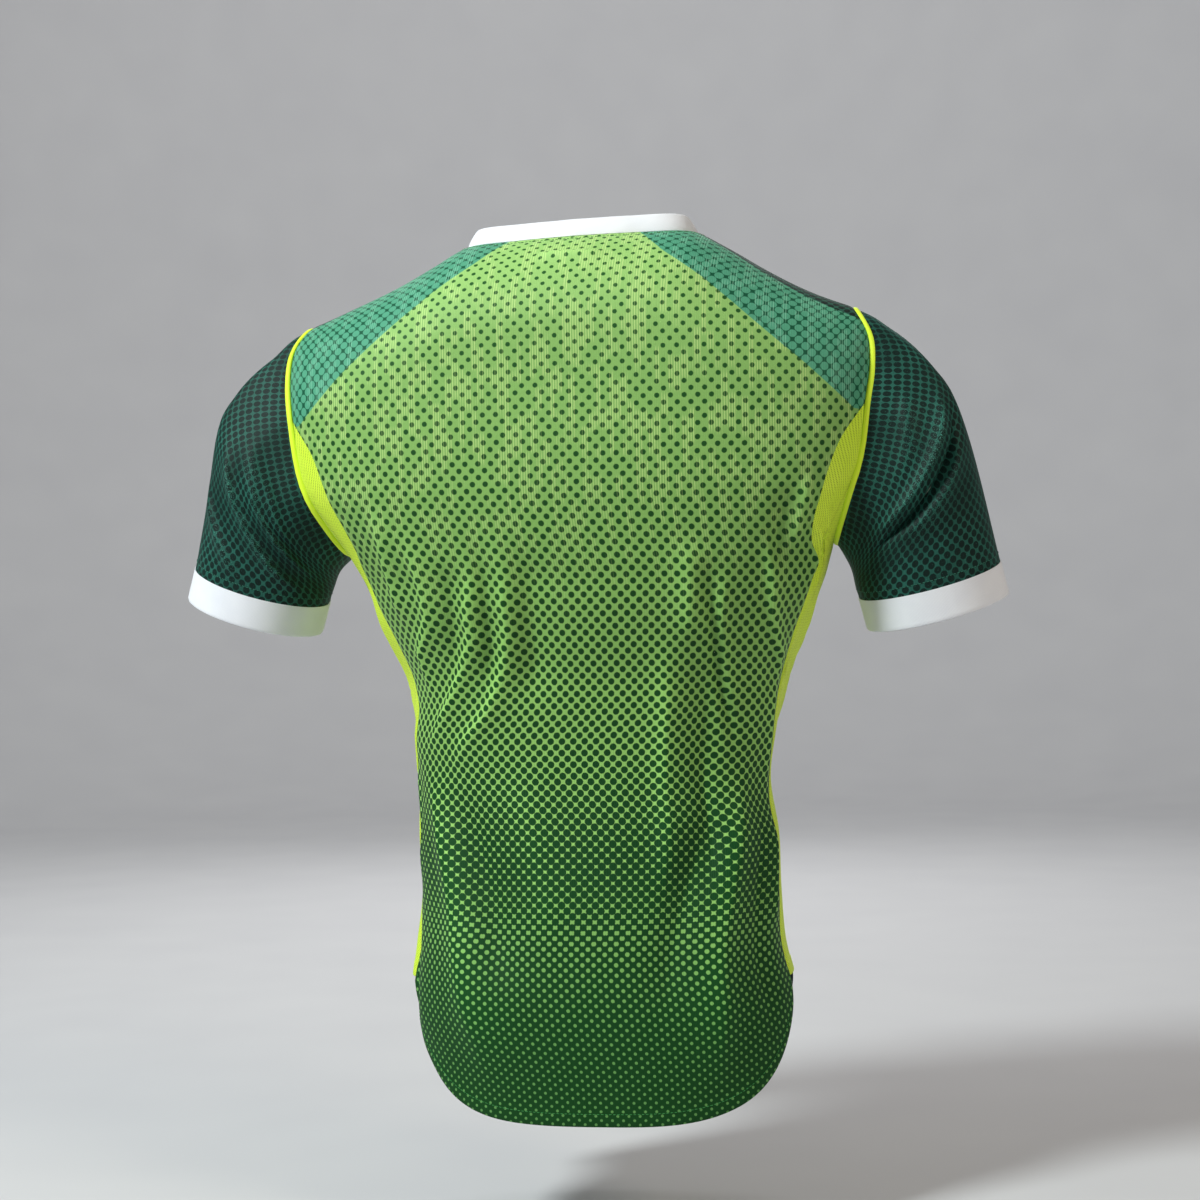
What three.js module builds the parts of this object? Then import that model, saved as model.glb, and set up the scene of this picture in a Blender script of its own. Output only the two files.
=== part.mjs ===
// A short-sleeved football jersey in its worn, hollow form, cut as a back, a front, two side panels,
// two sleeves with cuffs, a collar band and the piping round each armhole.
// Units are millimetres. +X is the wearer's left, +Y the wearer's back and +Z up. The origin lies level
// with the two points where the shoulders meet the collar, midway between them.

import * as THREE from 'three';

// Driving dimensions
const CLOTH = 1.2;
const BAND_CLOTH = 2.0;
const PIPING_CLOTH = 1.6;
const SEAM_INSET = 0.2;

const NECK_HALF_WIDTH = 99;
const BACK_NECK_DROP = 8;
const FRONT_NECK_DROP = 82;
const NECK_SQUARENESS = 1.8;
const SHOULDER_TIP = { x: 234, z: -65 };
const RIDGE_Y = 5;
const SHOULDER_ROUND = { back: 95, front: 225 };

const ARMPIT_Z = -262;
const HORN_Z = -150;
const SIDE_HEM_Z = -627;
const HEM_DROP = { back: 108, front: 75 };
const HEM_SQUARENESS = 3.2;

const COLLAR_HEIGHT = 17;
const COLLAR_LEAN = 0.42;
const PIPING_WIDTH = 5.5;
const PIPING_CROWN = 0.7;

const SLEEVE = {
  cuffCentre: new THREE.Vector3(293, -12, -296),
  cuffHalfWidth: 61,
  cuffHalfDepth: 54,
  swungOut: THREE.MathUtils.degToRad(13.8),
  swungForward: THREE.MathUtils.degToRad(10),
};
const CUFF_HEIGHT = 27;

// Grid sizes: cells over half a panel's neck and shoulder, rows below and above the side panel's tips
const NECK_CELLS = 6;
const NECK_SAMPLES = 600;
const SHOULDER_CELLS = 8;
const LOW_ROWS = 21;
const HIGH_ROWS = 8;
const SIDE_CELLS = 8;
const COLUMN_SPREAD = 3;
const SLEEVE_ROWS = 10;

// The height of the shoulder line at a distance from the middle
const SHOULDER_LINE = [
  { x: 0, z: 6 },
  { x: 50, z: 4.5 },
  { x: 99, z: 0 },
  { x: 125, z: -14 },
  { x: 158, z: -32.5 },
  { x: 188, z: -47 },
  { x: 234, z: -65 },
  { x: 262, z: -73 },
];

// The body of the jersey by height: half width, depth behind and in front of the middle plane, how square
// each section is, and how far the worn cloth hangs over to the wearer's left
const TORSO = [
  { z: -770, half: 164, back: 112, front: 98, square: 2.3, shift: -5 },
  { z: -700, half: 164, back: 116, front: 99, square: 2.3, shift: -5 },
  { z: -650, half: 164, back: 117, front: 100, square: 2.3, shift: -5 },
  { z: -599, half: 160, back: 111, front: 101, square: 2.3, shift: -5 },
  { z: -560, half: 157, back: 104, front: 101, square: 2.3, shift: -5 },
  { z: -512, half: 156, back: 95, front: 102, square: 2.3, shift: -4 },
  { z: -458, half: 154, back: 88, front: 105, square: 2.3, shift: -2 },
  { z: -425, half: 157, back: 88, front: 107, square: 2.3, shift: -1 },
  { z: -394, half: 162, back: 91, front: 110, square: 2.3, shift: 0 },
  { z: -372, half: 167, back: 94, front: 113, square: 2.3, shift: 0 },
  { z: -342, half: 180, back: 101, front: 119, square: 2.4, shift: 0 },
  { z: -308, half: 193, back: 108, front: 125, square: 2.5, shift: 0 },
  { z: -290, half: 199, back: 110, front: 127, square: 2.5, shift: 0 },
  { z: -275, half: 204, back: 112, front: 128, square: 2.55, shift: 0 },
  { z: -262, half: 210, back: 113, front: 129, square: 2.6, shift: 0 },
  { z: -250, half: 218, back: 114, front: 130, square: 2.6, shift: 0 },
  { z: -235, half: 228, back: 115, front: 130, square: 2.6, shift: 0 },
  { z: -218, half: 240, back: 116, front: 130, square: 2.6, shift: 0 },
  { z: -200, half: 248, back: 116, front: 129, square: 2.6, shift: 0 },
  { z: -180, half: 252, back: 116, front: 128, square: 2.6, shift: 0 },
  { z: -150, half: 256, back: 115, front: 124, square: 2.6, shift: 0 },
  { z: -100, half: 259, back: 113, front: 118, square: 2.6, shift: 0 },
  { z: -65, half: 260, back: 112, front: 115, square: 2.6, shift: 0 },
  { z: 30, half: 262, back: 110, front: 112, square: 2.6, shift: -6 },
];

// How far from the middle the back and front panels end, beside the side panel
const SIDE_SEAMS = [
  { z: -770, back: 161.5, front: 161.5 },
  { z: -650, back: 161.5, front: 161.5 },
  { z: -560, back: 155, front: 155 },
  { z: -458, back: 153, front: 153 },
  { z: -394, back: 158.5, front: 158 },
  { z: -342, back: 174.5, front: 173 },
  { z: -308, back: 186, front: 183 },
  { z: -290, back: 191, front: 187 },
  { z: -275, back: 193, front: 188 },
  { z: -262, back: 193.5, front: 188 },
  { z: -245, back: 198, front: 189 },
  { z: -225, back: 206, front: 193 },
  { z: -205, back: 213, front: 199 },
  { z: -180, back: 223, front: 208 },
  { z: -150, back: 243.7, front: 224 },
];

// How far from the middle the armhole lies, behind and in front
const ARMHOLE = [
  { z: -262, back: 210, front: 210 },
  { z: -250, back: 215.5, front: 210.5 },
  { z: -235, back: 222, front: 212 },
  { z: -220, back: 228, front: 214 },
  { z: -200, back: 235, front: 217 },
  { z: -180, back: 239.5, front: 220 },
  { z: -150, back: 243.7, front: 224 },
  { z: -115, back: 248, front: 230 },
  { z: -90, back: 246, front: 234 },
  { z: -65, back: 234, front: 234 },
];

// The largest folds of the body. Turn is in degrees round the body, 0 at the middle of the back, 90 at the
// wearer's left side and 180 at the middle of the front. A positive depth is a ridge, a negative one a
// trough, and bend bows the fold sideways at its middle.
const TORSO_FOLDS = [
  { turn: 36, z: -255, endTurn: 55, endZ: -365, bend: -6, width: 11, depth: 3.0 },
  { turn: 21, z: -270, endTurn: 54, endZ: -430, bend: -16, width: 12, depth: 4.0 },
  { turn: 13, z: -240, endTurn: 40, endZ: -440, bend: -12, width: 13, depth: 3.6 },
  { turn: 17, z: -255, endTurn: 42, endZ: -400, bend: -10, width: 10, depth: -2.6 },
  { turn: 8, z: -250, endTurn: 14, endZ: -390, bend: 0, width: 15, depth: -2.4 },
  { turn: -22, z: -260, endTurn: -36, endZ: -400, bend: 6, width: 14, depth: 3.0 },
  { turn: -26, z: -270, endTurn: -56, endZ: -440, bend: 12, width: 10, depth: -3.6 },
  { turn: -44, z: -250, endTurn: -74, endZ: -385, bend: 6, width: 13, depth: 3.2 },
  { turn: 64, z: -440, endTurn: 26, endZ: -720, bend: 8, width: 20, depth: 3.8 },
  { turn: 40, z: -450, endTurn: 12, endZ: -640, bend: 6, width: 17, depth: -2.8 },
  { turn: -62, z: -430, endTurn: -34, endZ: -730, bend: -8, width: 20, depth: 3.6 },
  { turn: -40, z: -470, endTurn: -16, endZ: -660, bend: -6, width: 18, depth: -2.8 },
  { turn: 74, z: -290, endTurn: 96, endZ: -430, bend: 0, width: 13, depth: 2.6 },
  { turn: -78, z: -290, endTurn: -98, endZ: -440, bend: 0, width: 13, depth: 2.6 },
  { turn: 112, z: -290, endTurn: 142, endZ: -450, bend: 8, width: 15, depth: 3.4 },
  { turn: 138, z: -270, endTurn: 158, endZ: -470, bend: 6, width: 14, depth: -2.8 },
  { turn: -110, z: -280, endTurn: -138, endZ: -440, bend: -8, width: 15, depth: 3.6 },
  { turn: -134, z: -265, endTurn: -160, endZ: -480, bend: -8, width: 14, depth: -2.8 },
  { turn: 122, z: -450, endTurn: 160, endZ: -690, bend: -8, width: 20, depth: 3.4 },
  { turn: -118, z: -440, endTurn: -152, endZ: -700, bend: 8, width: 20, depth: 3.6 },
];

// The largest folds of a sleeve. Turn is in degrees round it, 0 under the arm, 90 behind and 180 on top;
// along is the share of the way from the armhole to the cuff.
const SLEEVE_FOLDS = {
  left: [
    { turn: 128, along: 0.3, endTurn: 40, endAlong: 0.86, bend: 6, width: 11, depth: 3.4 },
    { turn: 104, along: 0.16, endTurn: 30, endAlong: 0.62, bend: 5, width: 10, depth: 3.0 },
    { turn: 150, along: 0.62, endTurn: 92, endAlong: 0.96, bend: 4, width: 10, depth: 2.4 },
    { turn: 262, along: 0.25, endTurn: 318, endAlong: 0.8, bend: -6, width: 12, depth: 3.2 },
  ],
  right: [
    { turn: 140, along: 0.34, endTurn: 34, endAlong: 0.5, bend: -12, width: 10, depth: -3.8 },
    { turn: 142, along: 0.24, endTurn: 40, endAlong: 0.36, bend: -12, width: 12, depth: 3.4 },
    { turn: 110, along: 0.2, endTurn: 58, endAlong: 0.34, bend: -4, width: 10, depth: 2.4 },
    { turn: 255, along: 0.3, endTurn: 322, endAlong: 0.72, bend: -6, width: 12, depth: 3.2 },
  ],
};
const TURN_TO_MM = { torso: 2.3, sleeve: 0.95 };
const FOLD_ENDS = 0.3;

const COLOURS = {
  back_print: 0x6fa84f,
  front_print: 0x1d3b30,
  sleeve_print: 0x16302b,
  white_band: 0xe6e8ee,
  neon_mesh: 0xb7dd45,
  neon_piping: 0xc4ec4a,
};

const ROUGHNESS = {
  back_print: 0.62,
  front_print: 0.62,
  sleeve_print: 0.64,
  white_band: 0.7,
  neon_mesh: 0.6,
  neon_piping: 0.5,
};

// A smooth curve through the rows of a table, read at one place, with slopes from the neighbouring rows
function curve(table, across, column, place) {
  const last = table.length - 1;
  const at = THREE.MathUtils.clamp(place, table[0][across], table[last][across]);
  let row = 0;
  while (row < last - 1 && table[row + 1][across] <= at) {
    row += 1;
  }
  const slope = (k) => {
    if (k === 0 || k === last) {
      const low = Math.min(k, last - 1);
      const rise = table[low + 1][column] - table[low][column];
      return rise / (table[low + 1][across] - table[low][across]);
    }
    const before = table[k][across] - table[k - 1][across];
    const after = table[k + 1][across] - table[k][across];
    const rises = before * before * (table[k + 1][column] - table[k][column])
      + after * after * (table[k][column] - table[k - 1][column]);
    return rises / (before * after * (before + after));
  };
  const step = table[row + 1][across] - table[row][across];
  const t = (at - table[row][across]) / step;
  return (2 * t ** 3 - 3 * t ** 2 + 1) * table[row][column]
    + (t ** 3 - 2 * t ** 2 + t) * step * slope(row)
    + (-2 * t ** 3 + 3 * t ** 2) * table[row + 1][column]
    + (t ** 3 - t ** 2) * step * slope(row + 1);
}

function torso(column, z) {
  return curve(TORSO, 'z', column, z);
}

function shoulderLine(x) {
  return curve(SHOULDER_LINE, 'x', 'z', Math.abs(x));
}

// The angle round a squared section, 0 at the middle of the back or front and a quarter turn at the side
function sectionAngle(x, z) {
  const share = Math.min(Math.abs(x) / torso('half', z), 1);
  return Math.asin(share ** (torso('square', z) / 2));
}

// The point of the worn body at a distance from the middle and a height, on its back or front
function bodyPoint(x, z, face) {
  const square = torso('square', z);
  const share = Math.min(Math.abs(x) / torso('half', z), 1);
  const depth = torso(face, z) * (1 - share ** square) ** (1 / square);
  const below = THREE.MathUtils.clamp((shoulderLine(x) - z) / SHOULDER_ROUND[face], 0, 1);
  const rounding = Math.sqrt(1 - (1 - below) ** 2);
  const side = face === 'back' ? 1 : -1;
  return new THREE.Vector3(x, RIDGE_Y * (1 - rounding) + side * depth * rounding, z);
}

// The hem's height across a panel, 0 at its middle and 1 at its side seam
function hemHeight(across, face) {
  return SIDE_HEM_Z - HEM_DROP[face] * (1 - across ** HEM_SQUARENESS);
}

// The height of a panel's upper edge: the neckline, then the shoulder seam
function upperEdge(x, face) {
  if (x >= NECK_HALF_WIDTH) {
    return shoulderLine(x);
  }
  const drop = face === 'back' ? BACK_NECK_DROP : FRONT_NECK_DROP;
  const share = (x / NECK_HALF_WIDTH) ** NECK_SQUARENESS;
  return -drop * (1 - share) ** (1 / NECK_SQUARENESS);
}

// Where each column of half a panel reaches the upper edge: evenly along the neckline, then the shoulder
function columnTops(face) {
  const places = [];
  const lengths = [0];
  for (let k = 0; k <= NECK_SAMPLES; k += 1) {
    const x = NECK_HALF_WIDTH * Math.sin((k / NECK_SAMPLES) * (Math.PI / 2));
    const point = bodyPoint(x, upperEdge(x, face), face);
    if (k > 0) {
      lengths.push(lengths[k - 1] + point.distanceTo(places[k - 1]));
    }
    places.push(point);
  }
  const tops = [];
  for (let j = 0; j < NECK_CELLS; j += 1) {
    const wanted = (lengths[NECK_SAMPLES] * j) / NECK_CELLS;
    tops.push(places[lengths.findIndex((length) => length >= wanted)].x);
  }
  for (let j = 0; j <= SHOULDER_CELLS; j += 1) {
    tops.push(THREE.MathUtils.lerp(NECK_HALF_WIDTH, SHOULDER_TIP.x, j / SHOULDER_CELLS));
  }
  return tops;
}

// How far up each row lies, 0 at the hem and 1 at the upper edge, with a row at the side panel's tips
function rowShares() {
  const tip = (HORN_Z - SIDE_HEM_Z) / (SHOULDER_TIP.z - SIDE_HEM_Z);
  const shares = [];
  for (let i = 0; i <= LOW_ROWS; i += 1) {
    shares.push((tip * i) / LOW_ROWS);
  }
  for (let i = 1; i <= HIGH_ROWS; i += 1) {
    shares.push(tip + (1 - tip) * Math.sin((i / HIGH_ROWS) * (Math.PI / 2)));
  }
  return shares;
}

function smooth(from, to, value) {
  return THREE.MathUtils.smoothstep(value, from, to);
}

// The back or front panel, row by row from the hem up, from the wearer's right to the left
function bodyPanel(face) {
  const tops = columnTops(face);
  const halfCells = tops.length - 1;
  const armpitShare = (ARMPIT_Z - SIDE_HEM_Z) / (SHOULDER_TIP.z - SIDE_HEM_Z);
  return rowShares().map((share, i) => {
    const heights = tops.map((top, j) => THREE.MathUtils.lerp(
      hemHeight(j / halfCells, face), upperEdge(top, face), share));
    const edgeZ = heights[halfCells];
    const edgeTable = i <= LOW_ROWS ? SIDE_SEAMS : ARMHOLE;
    const edgeX = curve(edgeTable, 'z', face, edgeZ);
    const edgeAngle = sectionAngle(edgeX, edgeZ);
    const rise = Math.max((share - armpitShare) / (1 - armpitShare), 0) ** COLUMN_SPREAD;
    const places = tops.map((top, j) => {
      const angle = (edgeAngle * j) / halfCells;
      const low = torso('half', heights[j]) * Math.sin(angle) ** (2 / torso('square', heights[j]));
      return THREE.MathUtils.lerp(low, top, rise);
    });
    const miss = edgeX - places[halfCells];
    const half = places.map((x, j) => bodyPoint(x + miss * (j / halfCells) ** 2, heights[j], face));
    const mirrored = half.slice(1).reverse().map((p) => new THREE.Vector3(-p.x, p.y, p.z));
    return mirrored.concat(half);
  });
}

// The wearer's left side panel, from the hem up, from its back seam round to its front seam. Its upper edge
// is the lower part of the armhole, between the two tips.
function sidePanel() {
  const middle = SIDE_CELLS / 2;
  const columns = [];
  for (let j = 0; j <= SIDE_CELLS; j += 1) {
    const face = j <= middle ? 'back' : 'front';
    const aside = Math.abs(j - middle) / middle;
    const topZ = ARMPIT_Z + (HORN_Z - ARMPIT_Z) * aside ** 1.6;
    const topAngle = j === middle ? Math.PI / 2 : sectionAngle(curve(ARMHOLE, 'z', face, topZ), topZ);
    const evenAngle = (z) => {
      const seam = sectionAngle(curve(SIDE_SEAMS, 'z', face, z), z);
      return Math.PI / 2 - (Math.PI / 2 - seam) * aside;
    };
    columns.push({ face, topZ, evenAngle, change: topAngle - evenAngle(topZ) });
  }
  const rows = [];
  for (let i = 0; i <= LOW_ROWS; i += 1) {
    const share = i / LOW_ROWS;
    const rise = smooth(0.55, 1, share);
    rows.push(columns.map(({ face, topZ, evenAngle, change }) => {
      const z = THREE.MathUtils.lerp(SIDE_HEM_Z, topZ, share);
      const angle = Math.min(evenAngle(z) + change * rise, Math.PI / 2);
      const x = torso('half', z) * Math.sin(angle) ** (2 / torso('square', z));
      return bodyPoint(x, z, face);
    }));
  }
  return rows;
}

// How far one fold lifts a point at a place in millimetres along its own two directions
function foldLift(fold, place, start, end) {
  const run = end.clone().sub(start);
  const offset = place.clone().sub(start);
  const along = offset.dot(run) / run.lengthSq();
  if (along <= 0 || along >= 1) {
    return 0;
  }
  const sideways = (offset.x * run.y - offset.y * run.x) / run.length();
  const away = (sideways - fold.bend * 4 * along * (1 - along)) / fold.width;
  const taper = smooth(0, FOLD_ENDS, along) * smooth(0, FOLD_ENDS, 1 - along);
  return fold.depth * taper * Math.exp(-away * away);
}

// The fold height of the body at a point, from its turn round the body and its height
function torsoFolds(point) {
  const quarter = sectionAngle(point.x, point.z);
  const turn = THREE.MathUtils.radToDeg(point.y >= 0 ? quarter : Math.PI - quarter);
  const place = new THREE.Vector2(Math.sign(point.x) * turn * TURN_TO_MM.torso, point.z);
  return TORSO_FOLDS.reduce((sum, fold) => {
    const start = new THREE.Vector2(fold.turn * TURN_TO_MM.torso, fold.z);
    const end = new THREE.Vector2(fold.endTurn * TURN_TO_MM.torso, fold.endZ);
    return sum + foldLift(fold, place, start, end);
  }, 0);
}

function mirror(rows) {
  return rows.map((row) => row.map((p) => new THREE.Vector3(-p.x, p.y, p.z)));
}

function pointKey(point) {
  return [point.x, point.y, point.z].map((value) => Math.round(value * 1000)).join(' ');
}

// One outward normal for each point, the same for every sheet that shares the point. The sheets are
// { rows, closed, outward }, where outward is +1 or -1 and sets which side of the grid faces out.
function sharedNormals(sheets) {
  const sums = new Map();
  for (const { rows, closed, outward } of sheets) {
    const columns = rows[0].length;
    for (let i = 0; i < rows.length - 1; i += 1) {
      for (let j = 0; j < (closed ? columns : columns - 1); j += 1) {
        const next = (j + 1) % columns;
        const corners = [rows[i][j], rows[i][next], rows[i + 1][next], rows[i + 1][j]];
        const across = corners[2].clone().sub(corners[0]);
        const other = corners[3].clone().sub(corners[1]);
        const normal = across.cross(other).setLength(outward);
        for (const corner of corners) {
          const key = pointKey(corner);
          sums.set(key, (sums.get(key) ?? new THREE.Vector3()).add(normal));
        }
      }
    }
  }
  return (point) => sums.get(pointKey(point)).clone().normalize();
}

// Moves every point of the body's sheets along its normal by the height of the folds there, and by the
// sideways hang of the worn cloth
function foldBody(sheets) {
  const normalAt = sharedNormals(sheets);
  return sheets.map((sheet) => ({
    ...sheet,
    rows: sheet.rows.map((row) => row.map((point) => {
      const moved = normalAt(point).multiplyScalar(torsoFolds(point)).add(point);
      moved.x += torso('shift', point.z);
      return moved;
    })),
  }));
}

// The armhole, from the armpit up the back to the shoulder tip and down the front again, as points with
// their turn round the arm in degrees
function armhole(back, front, side, columnOf) {
  const sideTop = side[LOW_ROWS];
  const middle = SIDE_CELLS / 2;
  const behind = sideTop.slice(0, middle + 1).reverse();
  const ahead = sideTop.slice(middle).reverse();
  const backEdge = back.slice(LOW_ROWS + 1).map((row) => row[columnOf(row)]);
  const frontEdge = front.slice(LOW_ROWS + 1, -1).map((row) => row[columnOf(row)]).reverse();
  const rising = behind.concat(backEdge);
  const falling = [backEdge[backEdge.length - 1]].concat(frontEdge, ahead);
  const withTurn = (points, from) => {
    const lengths = [0];
    points.slice(1).forEach((p, k) => lengths.push(lengths[k] + p.distanceTo(points[k])));
    const whole = lengths[lengths.length - 1];
    return points.map((point, k) => ({ point, turn: from + (180 * lengths[k]) / whole }));
  };
  return withTurn(rising, 0).concat(withTurn(falling, 180).slice(1, -1));
}

// A sleeve's columns run as smooth curves from the armhole to the cuff's ring. Each column gives its length
// and the point at a distance along it.
function sleeveColumns(loop, hand) {
  const { cuffCentre, cuffHalfWidth, cuffHalfDepth, swungOut, swungForward } = SLEEVE;
  const down = new THREE.Vector3(
    Math.sin(swungOut) * Math.cos(swungForward),
    -Math.sin(swungForward),
    -Math.cos(swungOut) * Math.cos(swungForward));
  const outward = new THREE.Vector3(Math.cos(swungOut), 0, Math.sin(swungOut));
  const behind = new THREE.Vector3().crossVectors(down, outward).multiplyScalar(-1);
  behind.multiplyScalar(Math.sign(behind.y));
  const place = (v) => new THREE.Vector3(hand * v.x, v.y, v.z);
  return loop.map(({ point, turn }) => {
    const angle = THREE.MathUtils.degToRad(turn);
    const upper = (1 - Math.cos(angle)) / 2;
    const aside = Math.sin(angle);
    const end = cuffCentre.clone()
      .addScaledVector(outward, -Math.cos(angle) * cuffHalfWidth)
      .addScaledVector(behind, aside * cuffHalfDepth);
    const leave = new THREE.Vector3(0.75 + 0.17 * upper, 0.12 * aside, -0.66 + 0.26 * upper).normalize();
    const leaving = 18 + 80 * upper + 26 * Math.abs(aside);
    const arriving = 18 + 92 * upper + 30 * Math.abs(aside);
    const path = new THREE.CubicBezierCurve3(
      point,
      point.clone().add(place(leave).multiplyScalar(leaving)),
      place(end.clone().addScaledVector(down, -arriving)),
      place(end));
    const length = path.getLength();
    return { turn, length, down: place(down), at: (distance) => path.getPointAt(distance / length) };
  });
}

// The piping, sleeve and cuff of one arm, as closed rings from the armhole to the cuff's end
function armSheets(loop, hand, folds) {
  const columns = sleeveColumns(loop, hand);
  const ringAt = (distanceOf) => columns.map((column) => column.at(distanceOf(column)));
  const piping = [0, 0.5, 1].map((share) => ringAt(() => PIPING_WIDTH * share));
  const plain = [];
  for (let i = 0; i <= SLEEVE_ROWS; i += 1) {
    const share = i / SLEEVE_ROWS;
    plain.push(ringAt(({ length }) => THREE.MathUtils.lerp(PIPING_WIDTH, length, share)));
  }
  const normalAt = sharedNormals([{ rows: plain, closed: true, outward: hand }]);
  const sleeve = plain.map((ring, i) => ring.map((point, j) => {
    const share = i / SLEEVE_ROWS;
    const place = new THREE.Vector2(columns[j].turn * TURN_TO_MM.sleeve, share * columns[j].length);
    const fade = smooth(0, 0.12, share) * smooth(0, 0.12, 1 - share);
    const lift = folds.reduce((sum, fold) => {
      const start = new THREE.Vector2(fold.turn * TURN_TO_MM.sleeve, fold.along * columns[j].length);
      const end = new THREE.Vector2(fold.endTurn * TURN_TO_MM.sleeve, fold.endAlong * columns[j].length);
      return sum + foldLift(fold, place, start, end);
    }, 0);
    return normalAt(point).multiplyScalar(lift * fade).add(point);
  }));
  const cuff = [0, 0.5, 1].map((share) => sleeve[SLEEVE_ROWS].map(
    (point, j) => point.clone().addScaledVector(columns[j].down, CUFF_HEIGHT * share)));
  return { piping, sleeve, cuff };
}

// The collar band, as closed rings that rise from the neckline and lean in over it
function collarRows(back, front) {
  const neck = (rows) => {
    const row = rows[rows.length - 1];
    const middle = (row.length - 1) / 2;
    return row.slice(middle - NECK_CELLS, middle + NECK_CELLS + 1);
  };
  const ring = neck(back).concat(neck(front).reverse().slice(1, -1));
  const centre = new THREE.Vector3();
  ring.forEach((point) => centre.addScaledVector(point, 1 / ring.length));
  return [0, 0.35, 0.7, 1].map((share) => ring.map((point) => {
    const inward = new THREE.Vector3(centre.x - point.x, centre.y - point.y, 0).normalize();
    const ahead = THREE.MathUtils.clamp((centre.y - point.y) / 80, 0, 1);
    const lean = COLLAR_LEAN + 0.35 * ahead + 0.25 * (share - 0.5);
    const rise = inward.multiplyScalar(lean).add(new THREE.Vector3(0, 0, 1)).normalize();
    return point.clone().addScaledVector(rise, COLLAR_HEIGHT * share);
  }));
}

// The direction from a point on a seam into its own sheet, square to the seam
function awayFromSeam(point, inner, along, normal) {
  const seam = along.clone().addScaledVector(normal, -along.dot(normal)).normalize();
  const way = inner.clone().sub(point);
  way.addScaledVector(normal, -way.dot(normal)).addScaledVector(seam, -way.dot(seam));
  return way.normalize();
}

// The step that keeps a point the same distance from its one or two seams
function seamStep(ways) {
  if (ways.length === 0) {
    return new THREE.Vector3();
  }
  if (ways.length === 1) {
    return ways[0].clone().multiplyScalar(SEAM_INSET);
  }
  const mitre = 1 + ways[0].dot(ways[1]);
  return ways[0].clone().add(ways[1]).multiplyScalar(SEAM_INSET / mitre);
}

// The solid wall of a sheet: its points moved half the cloth's thickness out and in along the normals, with
// rims round its edges. Seams names the edges that another sheet meets.
function wallGeometry({ rows, closed, outward, seams, cloth, crown = 0 }, normalAt) {
  const rowCount = rows.length;
  const columns = rows[0].length;
  const outer = [];
  const inner = [];
  rows.forEach((row, i) => row.forEach((point, j) => {
    const normal = normalAt(point);
    const before = closed ? row[(j + columns - 1) % columns] : row[Math.max(j - 1, 0)];
    const after = closed ? row[(j + 1) % columns] : row[Math.min(j + 1, columns - 1)];
    const across = after.clone().sub(before);
    const upward = rows[Math.min(i + 1, rowCount - 1)][j].clone().sub(rows[Math.max(i - 1, 0)][j]);
    const ways = [];
    if (i === 0 && seams.includes('bottom')) {
      ways.push(awayFromSeam(point, rows[1][j], across, normal));
    }
    if (i === rowCount - 1 && seams.includes('top')) {
      ways.push(awayFromSeam(point, rows[i - 1][j], across, normal));
    }
    if (!closed && j === 0 && seams.includes('start')) {
      ways.push(awayFromSeam(point, row[1], upward, normal));
    }
    if (!closed && j === columns - 1 && seams.includes('end')) {
      ways.push(awayFromSeam(point, row[j - 1], upward, normal));
    }
    const moved = seamStep(ways).add(point);
    const raised = i > 0 && i < rowCount - 1 ? crown : 0;
    outer.push(moved.clone().addScaledVector(normal, cloth / 2 + raised));
    inner.push(moved.addScaledVector(normal, -cloth / 2));
  }));

  const positions = outer.concat(inner).flatMap((point) => point.toArray());
  const outerAt = (i, j) => i * columns + (j % columns);
  const innerAt = (i, j) => outer.length + outerAt(i, j);
  const indices = [];
  const face = (a, b, c, d) => {
    const ring = outward > 0 ? [a, b, c, a, c, d] : [a, c, b, a, d, c];
    indices.push(...ring);
  };
  const cells = closed ? columns : columns - 1;
  for (let i = 0; i < rowCount - 1; i += 1) {
    for (let j = 0; j < cells; j += 1) {
      face(outerAt(i, j), outerAt(i, j + 1), outerAt(i + 1, j + 1), outerAt(i + 1, j));
      face(innerAt(i, j), innerAt(i + 1, j), innerAt(i + 1, j + 1), innerAt(i, j + 1));
    }
  }
  for (let j = 0; j < cells; j += 1) {
    const top = rowCount - 1;
    face(outerAt(0, j), innerAt(0, j), innerAt(0, j + 1), outerAt(0, j + 1));
    face(outerAt(top, j), outerAt(top, j + 1), innerAt(top, j + 1), innerAt(top, j));
  }
  if (!closed) {
    const end = columns - 1;
    for (let i = 0; i < rowCount - 1; i += 1) {
      face(outerAt(i, 0), outerAt(i + 1, 0), innerAt(i + 1, 0), innerAt(i, 0));
      face(outerAt(i, end), innerAt(i, end), innerAt(i + 1, end), outerAt(i + 1, end));
    }
  }
  const geometry = new THREE.BufferGeometry();
  geometry.setAttribute('position', new THREE.Float32BufferAttribute(positions, 3));
  geometry.setIndex(indices);
  geometry.computeVertexNormals();
  return geometry;
}

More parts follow.
